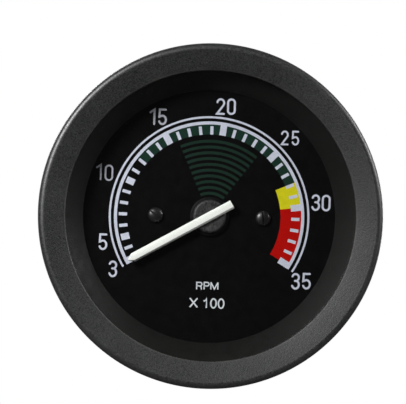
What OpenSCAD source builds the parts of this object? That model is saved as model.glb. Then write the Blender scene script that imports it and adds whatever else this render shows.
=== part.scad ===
// Round panel tachometer with a magnetic drag movement, driven by a flexible shaft.
// The dial looks along -Y, +Z is up, and the pointer turns about the Y axis.
// The origin is on that axis, at the face of the panel the instrument is clamped to.
// Depths are measured along Y from the panel: negative in front of it, positive behind it.

/* [Bezel] */
// Outer diameter of the bezel
bezel_d = 86; // [78:0.5:94]
// Height of the bezel's crest in front of the panel
bezel_h = 9; // [8:0.5:12]
// Radius of the rounded outer edge
bezel_edge_r = 1.4; // [1.2:0.1:2.4]
// Sheet thickness of the bezel
bezel_sheet = 0.8; // [0.6:0.1:1]
// Width of the bezel's front, from its outside to the opening
front_w = 6.8; // [6:0.1:8.5]
// How far the front ring falls from its crest to the opening
ring_fall = 1.4; // [0.6:0.1:2.2]

/* [Glass] */
// Thickness of the glass
glass_t = 2; // [1.5:0.1:2.5]
// Thickness of the rubber gasket behind the glass
gasket_t = 0.8; // [0.6:0.1:1.2]

/* [Case] */
// How far the bezel stands out past the case, which goes through an 80 mm hole in the panel
case_step = 3.25; // [2.8:0.05:4]
// Depth of the case behind the panel
case_depth = 38; // [36:0.5:50]
// Sheet thickness of the case
case_sheet = 0.8; // [0.6:0.1:1]
// Radius of the rounded edge at the back of the case
case_edge_r = 2.5; // [1.5:0.1:3]

/* [Dial] */
// Width of the shroud's slope, from the opening to the part of the dial that shows
slope_w = 4.55; // [3:0.05:6]
// Depth of the dial's face behind the panel
dial_face_y = 0.5; // [0:0.1:1.5]
// Thickness of the dial sheet
dial_t = 0.8; // [0.5:0.1:1]
// Distance between the two dial screws
dial_screw_spacing = 27.1; // [24:0.1:30]
// Head diameter of a dial screw
dial_screw_head_d = 3.8; // [3.4:0.1:4.4]

/* [Scale] */
// First mark of the scale, in hundreds of turns a minute
first_mark = 3; // [0:1:5]
// Last mark of the scale, in hundreds of turns a minute
last_mark = 35; // [30:1:36]
// Angle from one mark to the next
mark_angle = 7.5; // [7:0.1:7.6]
// Direction of the first mark, counter-clockwise from three o'clock
first_angle = 210; // [200:1:225]
// Room for the numbers, from the shroud to the thin arc
number_w = 6.35; // [4.5:0.05:7]
// Width of the thin arc
thin_arc_w = 0.6; // [0.4:0.05:0.7]
// Space between the thin arc and the thick one
arc_gap = 0.7; // [0.3:0.05:1.2]
// Width of the thick arc
thick_arc_w = 0.9; // [0.6:0.05:1.1]
// Length of a mark
mark_len = 2.1; // [1.5:0.1:3]
// Width of an ordinary mark
minor_w = 0.78; // [0.5:0.02:0.9]
// Width of a mark that has a number
major_w = 1.64; // [1.2:0.02:2]
// Thickness of the printed ink
ink_t = 0.05; // [0.04:0.01:0.1]

/* [Pointer] */
// Space between the pointer's tip and the outside of the thick arc
tip_gap = 0.9; // [0.5:0.1:5]
// Length of the tail behind the axis
pointer_tail = 6.4; // [5.5:0.1:8]
// Width of the pointer
pointer_w = 2.25; // [1.5:0.05:2.6]
// Thickness of the pointer
pointer_t = 1; // [0.6:0.1:1.4]
// Diameter of the hub's front face
hub_d = 8; // [7.6:0.1:10]
// Height of the hub
hub_h = 1.4; // [1.2:0.1:2]
// Diameter of the pointer spindle
spindle_d = 1.2; // [1:0.1:1.6]
// Travel of the pointer past the last mark, before it meets its stop
overrun = 3; // [1:0.5:6]

/* [Drag unit] */
// Diameter of the ring magnet
magnet_d = 24; // [21:0.5:25]
// Thickness of the ring magnet
magnet_t = 6; // [5:0.5:7]
// Air gap on each side of the drag cup
air_gap = 1; // [0.7:0.1:1.2]
// Wall of the aluminium drag cup
cup_wall = 0.5; // [0.4:0.05:0.7]
// Wall of the steel field cup
field_wall = 1.5; // [1:0.1:1.8]

/* [Hairspring] */
// Number of turns of the hairspring
spring_turns = 5; // [4:0.5:6]
// Distance from one turn to the next
spring_pitch = 0.9; // [0.7:0.05:1]
// Thickness of the spring strip
spring_t = 0.16; // [0.12:0.01:0.22]
// Width of the spring strip, along the axis
spring_h = 1; // [0.8:0.1:1.3]

/* [Movement frame] */
// Thickness of the front plate
plate_t = 2; // [1.5:0.1:2.5]
// Height of the posts that carry the dial
post_h = 4; // [3:0.1:4.5]
// Diameter of the three pillars
pillar_d = 5; // [4.4:0.1:5.6]
// Thickness of the flange of the base casting
base_t = 5; // [4:0.1:5.5]

/* [Drive] */
// Diameter of the drive shaft in its bushes
shaft_d = 6.5; // [6:0.1:7]
// Side of the square socket for the flexible shaft
square_drive = 2.7; // [2.6:0.1:3.2]
// Outer diameter of the threaded nipple
nipple_d = 18; // [16:0.5:20]
// Length of the threaded part of the nipple
nipple_len = 13; // [12:0.5:16]
// Diameter of the recess in the nipple
recess_d = 10.5; // [10.4:0.1:12]
// Wall of the bronze bushes
bush_wall = 1.2; // [1:0.1:1.4]

/* [Clamp] */
// Diameter of the two studs
stud_d = 4; // [3:0.5:5]
// Rise of the stud thread for one turn
thread_pitch = 0.7; // [0.5:0.1:0.8]
// Space between the bezel and the feet of the bracket, with the nuts backed off
panel_gap = 6; // [5:0.5:7]
// Sheet thickness of the clamp bracket
bracket_sheet = 1.5; // [1.2:0.1:2]
// Width of the bracket's legs
leg_w = 16; // [12:0.5:18]
// Height of the knurled nuts
nut_h = 6; // [5:0.5:7]

/* [Lamp] */
// Outer diameter of the lamp holder
lamp_d = 12.8; // [12.4:0.1:13]
// Diameter of the bulb
bulb_d = 8.8; // [8:0.1:9]
// Width of the push-on tabs
tab_w = 6.3; // [4.8:0.1:6.4]

/* [Hidden] */

$fn = 96;
eps = 0.01;
seat = 0.02;      // play between pieces that are pressed or cemented together
run = 0.05;       // radial play of a shaft in its bush
loose = 0.3;      // space between pieces that must not touch
arc_steps = 8;    // straight steps in each rounded edge

// Bezel and what lies behind its lip
bezel_r = bezel_d / 2;
case_r = bezel_r - case_step;
opening_r = bezel_r - front_w;
bezel_in_r = bezel_r - bezel_sheet;
curl_r = case_r + 0.95;
curl_edge_r = 0.5;
edge_c = [bezel_r - bezel_edge_r, bezel_edge_r - bezel_h];
ring_tilt = atan(ring_fall / (edge_c.x - opening_r));
ring_normal = [-sin(ring_tilt), -cos(ring_tilt)];
ring_tangent = edge_c + bezel_edge_r * ring_normal;
lip_r = bezel_sheet / 2;
ring_run = (ring_tangent.x + lip_r * sin(ring_tilt) - opening_r - lip_r) / cos(ring_tilt);
lip_c = ring_tangent + ring_run * [-cos(ring_tilt), sin(ring_tilt)] - lip_r * ring_normal;

glass_front = lip_c.y + lip_r + seat;
glass_back = glass_front + glass_t;
gasket_r = bezel_in_r - loose;
gasket_lip = 0.8;
glass_r = gasket_r - gasket_lip - seat;
gasket_back = glass_back + gasket_t;
gasket_in_r = gasket_r - 3;

// Case
flange_r = bezel_in_r - 0.2;
flange_back = -bezel_sheet;
flange_front = flange_back - case_sheet;
case_in_r = case_r - case_sheet;
mouth_slope = 0.3;
wall_front = case_depth - case_sheet;

// Dial, its posts and the front plate
dial_view_r = opening_r - slope_w;
dial_r = dial_view_r + 3;
dial_hole_r = spindle_d / 2 + 1;
dial_back = dial_face_y + dial_t;
shroud_back = dial_face_y - loose;
shroud_wall = 1.4;
shroud_foot = 1.7;
dial_screw_x = dial_screw_spacing / 2;
dial_screw_r = 0.95;
dial_screw_h = 1.3;
dial_screw_slots = [-38, 95];
post_r = 2.5;
post_spigot_r = post_r - 1;
plate_front = dial_back + post_h;
plate_back = plate_front + plate_t;
thin_arc_r = dial_view_r - number_w;
thick_arc_r = thin_arc_r - thin_arc_w - arc_gap;
joined_from = 15; // marks with a number, from this one on, join the thick arc
mark_gap = 0.35;

// Pointer
hub_r = hub_d / 2;
hub_foot_r = hub_r + 0.9;
hub_back = dial_face_y - 0.4;
hub_front = hub_back - hub_h;
spindle_r = spindle_d / 2;
pointer_front = hub_front - pointer_t;
pointer_reach = thick_arc_r - tip_gap;
tip_taper = 1.3;
tip_w = 0.6;
sweep = (last_mark - first_mark) * mark_angle;

// Hairspring, stop and drag cup, one behind the other on the spindle
bush_stand = 0.9;
spindle_bush_r = spindle_r + 1.6;
collet_r = spindle_r + 1.2;
collet_front = plate_back + bush_stand + 0.4;
spring_front = collet_front + loose;
spring_back = spring_front + spring_h;
collet_back = spring_back + loose;
spring_in_r = collet_r + spring_t / 2 + seat;
spring_out_r = spring_in_r + spring_turns * spring_pitch;
stud_pin_r = 0.7;
stud_pin_at = spring_out_r + spring_t / 2 + stud_pin_r + seat;
spring_end_angle = 270;
arm_t = 0.6;
arm_w = 1.6;
arm_front = collet_back + loose;
arm_back = arm_front + arm_t;
stop_pin_r = 0.8;
stop_at = stud_pin_at + stud_pin_r - seat + 1;
stop_play = 0.15;
stop_angle = asin((stop_pin_r + arm_w / 2 + stop_play) / stop_at);
arm_angle = first_angle - 180;
low_stop_angle = arm_angle + stop_angle;
high_stop_angle = arm_angle - sweep - overrun - stop_angle;
cup_hub_front = arm_back + loose;
cup_hub_flange = 0.8;
cup_front = cup_hub_front + cup_hub_flange;
cup_hub_r = spindle_r + 1.4;
cup_hub_back = cup_front + cup_wall + 0.4;

// Magnet on the drive shaft, inside the drag cup and the field cup
magnet_r = magnet_d / 2;
cup_in_r = magnet_r + air_gap;
cup_r = cup_in_r + cup_wall;
field_in_r = cup_r + air_gap;
field_r = field_in_r + field_wall;
carrier_r = 4;
carrier_front = cup_hub_back + air_gap;
compensator_t = 0.8;
magnet_front = carrier_front + compensator_t + loose;
magnet_back = magnet_front + magnet_t;
cup_back = magnet_back + 1.5;
carrier_flange = 1.3;
carrier_back = magnet_back + carrier_flange;
shaft_r = shaft_d / 2;
neck_r = shaft_r - 0.75;
collar_r = shaft_r + 1.3;
collar_front = carrier_back + seat;
collar_back = collar_front + 1.6;
washer_front = collar_back + run;
washer_back = washer_front + 0.65;
bush_r = shaft_r + run + bush_wall;
bush_flange_r = bush_r + 1.1;
bush_front = washer_back + run;
spigot_front = bush_front + 0.8;
spigot_r = bush_r + 2.4;
field_floor = spigot_front + 0.2;
field_back = field_floor + field_wall;
boss_r = spigot_r + 2;
jewel_r = 1.25;
jewel_t = 1.2;
pivot_r = 0.25;
pivot_back = carrier_front + seat + 0.9;

// Base casting, pillars and the drive end
pillar_at = field_r + 1 + pillar_d / 2;
pillar_angles = [30, 150, 270];
plate_r = pillar_at + pillar_d / 2 + 0.5;
window_in = stop_at + stop_pin_r + 0.8;
window_out = plate_r - 3;
window_angles = [66, 114, 228, 312];
base_back = wall_front;
base_front = base_back - base_t;
pillar_screw_r = 1.2;
pillar_screw_head_r = 2.2;
pillar_screw_deep = 6;
pillar_spigot_r = 1.6;
base_screw_r = 2;
base_screw_head_r = 3.5;
base_screw_head_h = 2.2;
base_screw_deep = 3.7;
nipple_r = nipple_d / 2;
collar_hole_r = nipple_r + 1.7;
base_screw_at = collar_hole_r + base_screw_head_r + loose;
shoulder_r = collar_hole_r - 0.2;
nipple_front = case_depth + 1;
nipple_back = nipple_front + nipple_len;
recess_r = recess_d / 2;
recess_front = nipple_back - 6;
clip_room_front = recess_front - 1;
clip_room_r = bush_r + 0.5;
clip_front = clip_room_front + 0.05;
clip_t = 0.7;
clip_r = shaft_r + 1.2;
clip_groove_r = shaft_r - 0.3;
shaft_back = recess_front - 0.05;
socket_deep = 10;
bush_len = 6;

// Studs, bracket and nuts
stud_r = stud_d / 2;
stud_head_r = stud_r + 2;
stud_head_t = 0.8;
stud_x = plate_r + stud_head_r + 0.5;
leg_x = bezel_r - 0.2;
foot_front = panel_gap;
tighten_travel = 7 * thread_pitch;
release_travel = 4 * thread_pitch;
base_clear = base_screw_head_h + 0.7;
bracket_in = case_depth + base_clear + tighten_travel + 0.2;
bracket_back = bracket_in + bracket_sheet;
bracket_bend_r = bracket_sheet + 1.5;
bracket_hole_r = nipple_r + 5;
bracket_ring_r = bracket_hole_r + 4;
lock_t = 0.9;
lock_r = stud_r + 1.9;
nut_r = stud_r + 3.5;
nut_neck_r = stud_r + 2.4;
nut_neck_h = 1.5;
nut_front = bracket_back + lock_t;
nut_back = nut_front + nut_h;
flutes = 24;
flute_r = 0.4;
stud_back = nut_back + release_travel + 2.5;

// Lamp and earth tab
lamp_r = lamp_d / 2;
lamp_deep = 8;
lamp_stand = 6;
lamp_front = case_depth - lamp_deep;
lamp_back = case_depth + lamp_stand;
lamp_flange_r = lamp_r + 1.2;
lamp_flange_t = 1.2;
lamp_cap_r = lamp_r - 0.6;
lamp_room = 1;
lamp_at = case_r - case_edge_r - 0.15 - lamp_flange_r;
bulb_r = bulb_d / 2;
bulb_cap_r = bulb_r + 0.2;
lamp_bore_r = bulb_cap_r + 0.15;
lamp_wall_t = 0.8;
insulator_t = 2.6;
insulator_front = lamp_back - lamp_wall_t - insulator_t;
bulb_cap_reach = 3.5;
bulb_cap_front = lamp_front - bulb_cap_reach;
bulb_len = 9;
bulb_tip = bulb_cap_front - bulb_len;
solder_r = 1.5;
solder_t = 1;
tab_t = 0.8;
tab_len = 8;
tab_hole_r = 0.9;
earth_at = lamp_at;
rivet_r = 1.2;
rivet_head_r = 2.1;
rivet_head_h = 0.9;

// Points along an arc of radius r about c, from angle a to angle b
function arc(c, r, a, b) = [
    for (i = [0 : arc_steps])
        let (t = a + (b - a) * i / arc_steps) c + r * [cos(t), sin(t)]
];

// Direction of a mark in the front view
function scale_angle(mark) = first_angle - (mark - first_mark) * mark_angle;

// Turns a profile of [radius, depth] points about the instrument's axis
module turned() rotate([-90, 0, 0]) rotate_extrude() children();

// Draws a flat shape as the front view shows it. It grows from depth y towards the viewer.
module facing(y, h) translate([0, y, 0]) rotate([90, 0, 0]) linear_extrude(h) children();

// Round bar along the axis, from depth y0 to depth y1
module rod(y0, y1, r) translate([0, y0, 0]) rotate([-90, 0, 0]) cylinder(r = r, h = y1 - y0);

// Round tube along the axis
module tube(y0, y1, r, bore) {
    difference() {
        rod(y0, y1, r);
        rod(y0 - eps, y1 + eps, bore);
    }
}

// Places children at a radius and an angle of the front view
module at(radius, angle) translate([radius * cos(angle), 0, radius * sin(angle)]) children();

// Places children at each of several angles
module ring_of(radius, angles) {
    for (a = angles) at(radius, a) children();
}

// Domed screw head with a slot. Its seat is at depth y and the dome looks to the front.
module domed_head(y, r, h, slot_angle) {
    slot_w = r * 0.27;
    slot_h = h * 0.9;
    rim = h * 0.35;
    difference() {
        turned() polygon(concat(
            [[0, y], [r, y]],
            [for (a = [0 : 15 : 90]) [r * cos(a), y - rim - (h - rim) * sin(a)]]
        ));
        translate([0, y - h, 0]) rotate([0, -slot_angle, 0]) cube([3 * r, slot_h, slot_w], center = true);
    }
}

// Cheese head with a slot, on the back of the case
module cheese_head(y, r, h, slot_angle) {
    difference() {
        rod(y, y + h, r);
        translate([0, y + h, 0]) rotate([0, -slot_angle, 0]) cube([3 * r, h * 0.9, r * 0.3], center = true);
    }
}

// Sector of the circle of radius r, from angle a down to angle b, clockwise
module sector(r, a, b) {
    steps = ceil((a - b) / 30);
    polygon(concat([[0, 0]], [
        for (i = [0 : steps])
            let (t = a - (a - b) * i / steps) 2 * r * [cos(t), sin(t)]
    ]));
}

// Printed arc, from angle a down to angle b
module printed_arc(outer, w, a, b) {
    difference() {
        circle(outer);
        circle(outer - w);
        sector(outer, b, a - 360);
    }
}

// Steel pressing: a curl behind the case flange, a side wall, a rounded edge, a front ring and a rolled lip
module bezel() {
    inner_edge_r = bezel_edge_r - bezel_sheet;
    color([0.24, 0.245, 0.25])
    turned() polygon(concat(
        [[curl_r, 0]],
        arc([bezel_r - curl_edge_r, -curl_edge_r], curl_edge_r, 90, 0),
        arc(edge_c, bezel_edge_r, 0, -90 - ring_tilt),
        arc(lip_c, lip_r, -90 - ring_tilt, -270 - ring_tilt),
        arc(edge_c, inner_edge_r, -90 - ring_tilt, 0),
        [[bezel_in_r, -bezel_sheet], [curl_r, -bezel_sheet]]
    ));
}

module glass() color([0.75, 0.85, 0.9, 0.35]) rod(glass_front, glass_back, glass_r);

// Rubber ring of L section, behind the glass and around its edge
module glass_gasket() {
    color([0.05, 0.05, 0.05])
    turned() polygon([
        [gasket_in_r, glass_back], [glass_r + seat, glass_back],
        [glass_r + seat, glass_front + 0.3], [gasket_r, glass_front + 0.3],
        [gasket_r, gasket_back], [gasket_in_r, gasket_back]
    ]);
}

// Moulded ring that carries the glass on the case flange and slopes in to the dial
module shroud_ring() {
    top_r = opening_r + 0.3;
    top = glass_back + 0.2;
    slope = (top_r - dial_view_r) / (shroud_back - top);
    land_r = dial_view_r + shroud_foot;
    rear = flange_front - 0.6;
    shelf_r = gasket_in_r - 0.4;
    spigot_out = case_in_r - 0.35;
    color([0.13, 0.13, 0.13])
    turned() polygon([
        [top_r, top], [shelf_r, top], [shelf_r, gasket_back],
        [gasket_r, gasket_back], [gasket_r, flange_front],
        [spigot_out, flange_front], [spigot_out, flange_front + 1],
        [spigot_out - shroud_wall, flange_front + 1],
        [spigot_out - shroud_wall, rear],
        [land_r + (shroud_back - rear) * slope, rear],
        [land_r, shroud_back], [dial_view_r, shroud_back]
    ]);
}

// Drawn steel can with holes in its back for the drive, the screws, the studs, the lamp and the earth tab
module case_shell() {
    corner = [case_r - case_edge_r, case_depth - case_edge_r];
    color([0.33, 0.34, 0.35])
    difference() {
        turned() polygon(concat(
            [[case_in_r, flange_back], [case_r - mouth_slope, flange_back]],
            [[case_r, flange_back + mouth_slope]],
            arc(corner, case_edge_r, 0, 90),
            [[collar_hole_r, case_depth], [collar_hole_r, wall_front]],
            arc(corner, case_edge_r - case_sheet, 90, 0)
        ));
        ring_of(base_screw_at, pillar_angles) rod(wall_front - eps, case_depth + eps, base_screw_r + 0.2);
        ring_of(stud_x, [0, 180]) rod(wall_front - eps, case_depth + eps, stud_r + run);
        at(lamp_at, 90) rod(wall_front - eps, case_depth + eps, lamp_r + 0.15);
        at(earth_at, 270) rod(wall_front - eps, case_depth + eps, rivet_r + run);
    }
}

// Ring welded to the mouth of the can. The bezel is curled over it.
module case_flange() color([0.33, 0.34, 0.35]) tube(flange_front, flange_back, flange_r, case_in_r);

// Aluminium disc with holes for the spindle and its two screws
module dial() {
    color([0.06, 0.065, 0.065])
    difference() {
        rod(dial_face_y, dial_back, dial_r);
        rod(dial_face_y - eps, dial_back + eps, dial_hole_r);
        ring_of(dial_screw_x, [0, 180]) rod(dial_face_y - eps, dial_back + eps, dial_screw_r + 0.15);
    }
}

// White scale: two arcs and a mark for each hundred turns, with a wide mark at each number
module scale_print() {
    end_pad = asin(major_w / 2 / thick_arc_r);
    a = scale_angle(first_mark) + end_pad;
    b = scale_angle(last_mark) - end_pad;
    mark_out_r = thick_arc_r - thick_arc_w - mark_gap;
    color([0.85, 0.87, 0.9])
    facing(dial_face_y, ink_t) {
        printed_arc(thin_arc_r, thin_arc_w, a, b);
        printed_arc(thick_arc_r, thick_arc_w, a, b);
        for (mark = [first_mark : last_mark]) {
            numbered = mark % 5 == 0 || mark == first_mark;
            joined = mark == first_mark || (numbered && mark >= joined_from);
            w = numbered ? major_w : minor_w;
            reach = joined ? mark_len + mark_gap + thick_arc_w / 2 : mark_len;
            rotate(scale_angle(mark)) translate([mark_out_r - mark_len, -w / 2]) square([reach, w]);
        }
    }
}

module dial_screws() {
    color([0.1, 0.1, 0.1])
    for (i = [0, 1]) at(dial_screw_x, 180 - 180 * i) {
        domed_head(dial_face_y, dial_screw_head_d / 2, dial_screw_h, dial_screw_slots[i]);
        rod(dial_face_y, plate_front - 0.4, dial_screw_r);
    }
}

// Tapped posts riveted into the front plate
module dial_posts() {
    color([0.72, 0.66, 0.45])
    ring_of(dial_screw_x, [0, 180]) difference() {
        union() {
            rod(dial_back, plate_front, post_r);
            rod(plate_front, plate_back + 0.3, post_spigot_r);
        }
        rod(dial_back - eps, plate_front - 0.2, dial_screw_r + run);
    }
}

// Plate that carries the dial and the front bearing, with four windows
module front_plate() {
    window_r = (window_out - window_in) / 2;
    color([0.7, 0.6, 0.32])
    difference() {
        rod(plate_front, plate_back, plate_r);
        rod(plate_front - eps, plate_back + eps, spindle_bush_r + seat);
        ring_of(dial_screw_x, [0, 180]) rod(plate_front - eps, plate_back + eps, post_spigot_r + seat);
        ring_of(pillar_at, pillar_angles) rod(plate_front - eps, plate_back + eps, pillar_screw_r + 0.1);
        ring_of(window_in + window_r, window_angles) rod(plate_front - eps, plate_back + eps, window_r);
        ring_of(stop_at, [low_stop_angle, high_stop_angle])
            rod(plate_front - eps, plate_back + eps, stop_pin_r + seat);
        at(stud_pin_at, spring_end_angle) rod(plate_front - eps, plate_back + eps, stud_pin_r + seat);
    }
}

// Front bearing of the pointer spindle
module spindle_bush() {
    color([0.8, 0.62, 0.3])
    difference() {
        union() {
            rod(plate_front - 0.8, plate_front, spindle_bush_r + 1);
            rod(plate_front, plate_back + bush_stand, spindle_bush_r);
        }
        rod(plate_front - 1, plate_back + bush_stand + eps, spindle_r + run);
    }
}

module plate_screws() {
    color([0.6, 0.6, 0.6])
    for (a = pillar_angles) at(pillar_at, a) {
        domed_head(plate_front, pillar_screw_head_r, 1.4, a + 20);
        rod(plate_front, plate_back + pillar_screw_deep, pillar_screw_r);
    }
}

// Three turned pillars between the front plate and the base casting
module pillars() {
    spigot_deep = base_t - 1.5;
    color([0.62, 0.62, 0.6])
    ring_of(pillar_at, pillar_angles) difference() {
        union() {
            rod(plate_back, base_front, pillar_d / 2);
            rod(base_front, base_front + spigot_deep, pillar_spigot_r);
        }
        rod(plate_back - eps, plate_back + pillar_screw_deep + 0.5, pillar_screw_r + run);
    }
}

// Die casting: a flange inside the case, a boss that carries the field cup, and the threaded nipple
module base_casting() {
    thread_chamfer = 1;
    color([0.66, 0.66, 0.64])
    difference() {
        union() {
            rod(base_front, base_back, plate_r);
            rod(field_back, base_front, boss_r);
            rod(spigot_front, field_back, spigot_r);
            rod(base_back, nipple_front, shoulder_r);
            turned() polygon([
                [0, nipple_front], [nipple_r, nipple_front], [nipple_r, nipple_back - thread_chamfer],
                [nipple_r - thread_chamfer, nipple_back], [0, nipple_back]
            ]);
        }
        rod(spigot_front - eps, clip_room_front, bush_r + seat);
        rod(clip_room_front - eps, recess_front, clip_room_r);
        rod(recess_front - eps, nipple_back + eps, recess_r);
        ring_of(pillar_at, pillar_angles) rod(base_front - eps, base_back - 1, pillar_spigot_r + seat);
        ring_of(base_screw_at, pillar_angles) rod(base_front + 1, base_back + eps, base_screw_r + run);
        at(lamp_at, 90) rod(base_front - eps, base_back + eps, lamp_r + lamp_room);
    }
}

module base_screws() {
    color([0.75, 0.75, 0.73])
    for (a = pillar_angles) at(base_screw_at, a) {
        cheese_head(case_depth, base_screw_head_r, base_screw_head_h, a - 35);
        rod(base_back - base_screw_deep + 0.2, case_depth, base_screw_r);
    }
}

// Pin on the front plate that holds the outer end of the hairspring
module spring_stud() {
    color([0.8, 0.62, 0.3])
    at(stud_pin_at, spring_end_angle) rod(plate_front, spring_back + 0.3, stud_pin_r);
}

// Flat spiral spring: its outer end is held by the stud and its inner end turns with the collet
module hairspring() {
    steps = round(spring_turns * 36);
    function centre_r(i) = spring_out_r - spring_pitch * spring_turns * i / steps;
    function place(i, side) = (centre_r(i) + side * spring_t / 2)
        * [cos(spring_end_angle + 10 * i), sin(spring_end_angle + 10 * i)];
    color([0.5, 0.55, 0.65])
    facing(spring_back, spring_h) polygon(concat(
        [for (i = [0 : steps]) place(i, 1)],
        [for (i = [steps : -1 : 0]) place(i, -1)]
    ));
}

// Pins that end the pointer's travel at the first mark and just past the last
module stop_pins() {
    color([0.7, 0.7, 0.7])
    ring_of(stop_at, [low_stop_angle, high_stop_angle]) rod(plate_front, arm_back + 0.2, stop_pin_r);
}

// Fixed steel cup that closes the magnet's field around the drag cup
module field_cup() {
    front = cup_front + air_gap;
    inner_bend = 1;
    color([0.5, 0.5, 0.5])
    turned() polygon(concat(
        [[spigot_r + seat, field_floor]],
        arc([field_in_r - inner_bend, field_floor - inner_bend], inner_bend, 90, 0),
        [[field_in_r, front], [field_r, front]],
        arc([field_r - inner_bend - 0.5, field_back - inner_bend - 0.5], inner_bend + 0.5, 0, 90),
        [[spigot_r + seat, field_back]]
    ));
}

// Flanged bush at the magnet end of the drive shaft
module front_bush() {
    color([0.72, 0.5, 0.25])
    difference() {
        union() {
            rod(bush_front, spigot_front, bush_flange_r);
            rod(spigot_front, spigot_front + bush_len, bush_r);
        }
        rod(bush_front - eps, spigot_front + bush_len + eps, shaft_r + run);
    }
}

module rear_bush() {
    color([0.72, 0.5, 0.25]) tube(clip_room_front - bush_len, clip_room_front, bush_r, shaft_r + run);
}

// White bar with bevelled long edges and a blunt tapered tip
module pointer_blade() {
    flat = pointer_w * 0.3;
    shoulder = pointer_t * 0.55;
    length = pointer_reach + pointer_tail;
    color([0.93, 0.94, 0.9])
    rotate([0, -first_angle, 0]) intersection() {
        facing(hub_front, pointer_t) polygon([
            [-pointer_tail, -pointer_w / 2], [pointer_reach - tip_taper, -pointer_w / 2],
            [pointer_reach, -tip_w / 2], [pointer_reach, tip_w / 2],
            [pointer_reach - tip_taper, pointer_w / 2], [-pointer_tail, pointer_w / 2]
        ]);
        translate([-pointer_tail - 1, hub_front, 0]) rotate([90, 0, 90]) linear_extrude(length + 2) polygon([
            [0, -pointer_w / 2], [0, pointer_w / 2], [-shoulder, pointer_w / 2],
            [-pointer_t, flat], [-pointer_t, -flat], [-shoulder, -pointer_w / 2]
        ]);
    }
}

// Dark cap with a thin foot, pressed on the spindle under the pointer
module pointer_hub() {
    foot_t = 0.45;
    edge = 0.25;
    color([0.2, 0.2, 0.21])
    difference() {
        turned() polygon(concat(
            [[0, hub_back], [hub_foot_r, hub_back]],
            [[hub_foot_r, hub_back - foot_t], [hub_r, hub_back - foot_t]],
            arc([hub_r - edge, hub_front + edge], edge, 0, -90),
            [[0, hub_front]]
        ));
        rod(hub_front + 0.3, hub_back + eps, spindle_r + seat);
    }
}

// Steel spindle with a fine pivot at its rear end
module pointer_spindle() {
    shoulder = carrier_front - 0.35;
    color([0.75, 0.75, 0.77])
    turned() polygon([
        [0, hub_front + 0.35], [spindle_r, hub_front + 0.35], [spindle_r, shoulder - 0.6],
        [pivot_r, shoulder], [pivot_r, pivot_back - 0.15], [0, pivot_back]
    ]);
}

module spring_collet() color([0.8, 0.62, 0.3]) tube(collet_front, collet_back, collet_r, spindle_r + seat);

// Arm on the spindle that meets the stop pins
module stop_arm() {
    color([0.6, 0.6, 0.62])
    difference() {
        union() {
            rod(arm_front, arm_back, collet_r);
            rotate([0, -arm_angle, 0])
                translate([0, arm_front, -arm_w / 2]) cube([stop_at + stop_pin_r, arm_t, arm_w]);
        }
        rod(arm_front - eps, arm_back + eps, spindle_r + seat);
    }
}

// Hub that is riveted through the drag cup
module cup_hub() {
    color([0.8, 0.62, 0.3])
    difference() {
        union() {
            rod(cup_hub_front, cup_front, cup_hub_r + 1.2);
            rod(cup_front, cup_hub_back, cup_hub_r);
            rod(cup_front + cup_wall, cup_hub_back, cup_hub_r + 0.4);
        }
        rod(cup_hub_front - eps, cup_hub_back + eps, spindle_r + seat);
    }
}

// Thin aluminium cup that the turning magnet drags round
module drag_cup() {
    bend = 0.8;
    color([0.83, 0.84, 0.85])
    turned() polygon(concat(
        [[cup_hub_r + seat, cup_front]],
        arc([cup_r - bend - cup_wall, cup_front + bend + cup_wall], bend + cup_wall, -90, 0),
        [[cup_r, cup_back], [cup_in_r, cup_back]],
        arc([cup_in_r - bend, cup_front + cup_wall + bend], bend, 0, -90),
        [[cup_hub_r + seat, cup_front + cup_wall]]
    ));
}

// Shaft with the jewel seat in front, a collar, a clip groove and the square socket at the back
module drive_shaft() {
    color([0.7, 0.7, 0.72])
    difference() {
        union() {
            rod(carrier_front, collar_front, neck_r);
            rod(collar_front, collar_back, collar_r);
            rod(collar_back, clip_front, shaft_r);
            rod(clip_front, clip_front + clip_t + 0.1, clip_groove_r);
            rod(clip_front + clip_t + 0.1, shaft_back, shaft_r);
        }
        rod(carrier_front - eps, carrier_front + jewel_t + seat, jewel_r + seat);
        translate([-square_drive / 2, shaft_back - socket_deep, -square_drive / 2])
            cube([square_drive, socket_deep + 1, square_drive]);
    }
}

module magnet() color([0.35, 0.35, 0.37]) tube(magnet_front, magnet_back, magnet_r, carrier_r + seat);

// Brass carrier that holds the magnet on the shaft
module magnet_carrier() {
    color([0.8, 0.62, 0.3])
    difference() {
        union() {
            rod(carrier_front + 0.1, magnet_back, carrier_r);
            rod(magnet_back, carrier_back, carrier_r + 3);
        }
        rod(carrier_front, carrier_back + eps, neck_r + seat);
    }
}

// Nickel-iron ring that evens out the magnet's change with temperature
module compensator_ring() {
    color([0.6, 0.6, 0.58])
    tube(magnet_front - compensator_t, magnet_front, magnet_r - 0.6, carrier_r + 1);
}

// Jewel in the end of the drive shaft, in which the spindle's pivot turns
module pivot_jewel() {
    front = carrier_front + seat;
    color([0.7, 0.1, 0.2])
    difference() {
        rod(front, front + jewel_t - seat, jewel_r);
        rod(front - eps, pivot_back + run, pivot_r + run);
    }
}

module thrust_washer() {
    color([0.75, 0.55, 0.3]) tube(washer_front, washer_back, collar_r + 0.4, shaft_r + run);
}

// Open clip in the groove of the drive shaft
module retaining_ring() {
    opening = 2;
    color([0.3, 0.3, 0.32])
    difference() {
        tube(clip_front, clip_front + clip_t, clip_r, clip_groove_r + run);
        translate([-opening / 2, clip_front - 1, 0]) cube([opening, clip_t + 2, clip_r + 1]);
    }
}

// Two studs, welded inside the back of the case
module clamp_studs() {
    tip = 0.5;
    color([0.75, 0.75, 0.72])
    ring_of(stud_x, [0, 180]) {
        rod(wall_front - stud_head_t, wall_front, stud_head_r);
        turned() polygon([
            [0, wall_front - tip], [stud_r, wall_front - tip], [stud_r, stud_back - tip],
            [stud_r - tip, stud_back], [0, stud_back]
        ]);
    }
}

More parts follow.
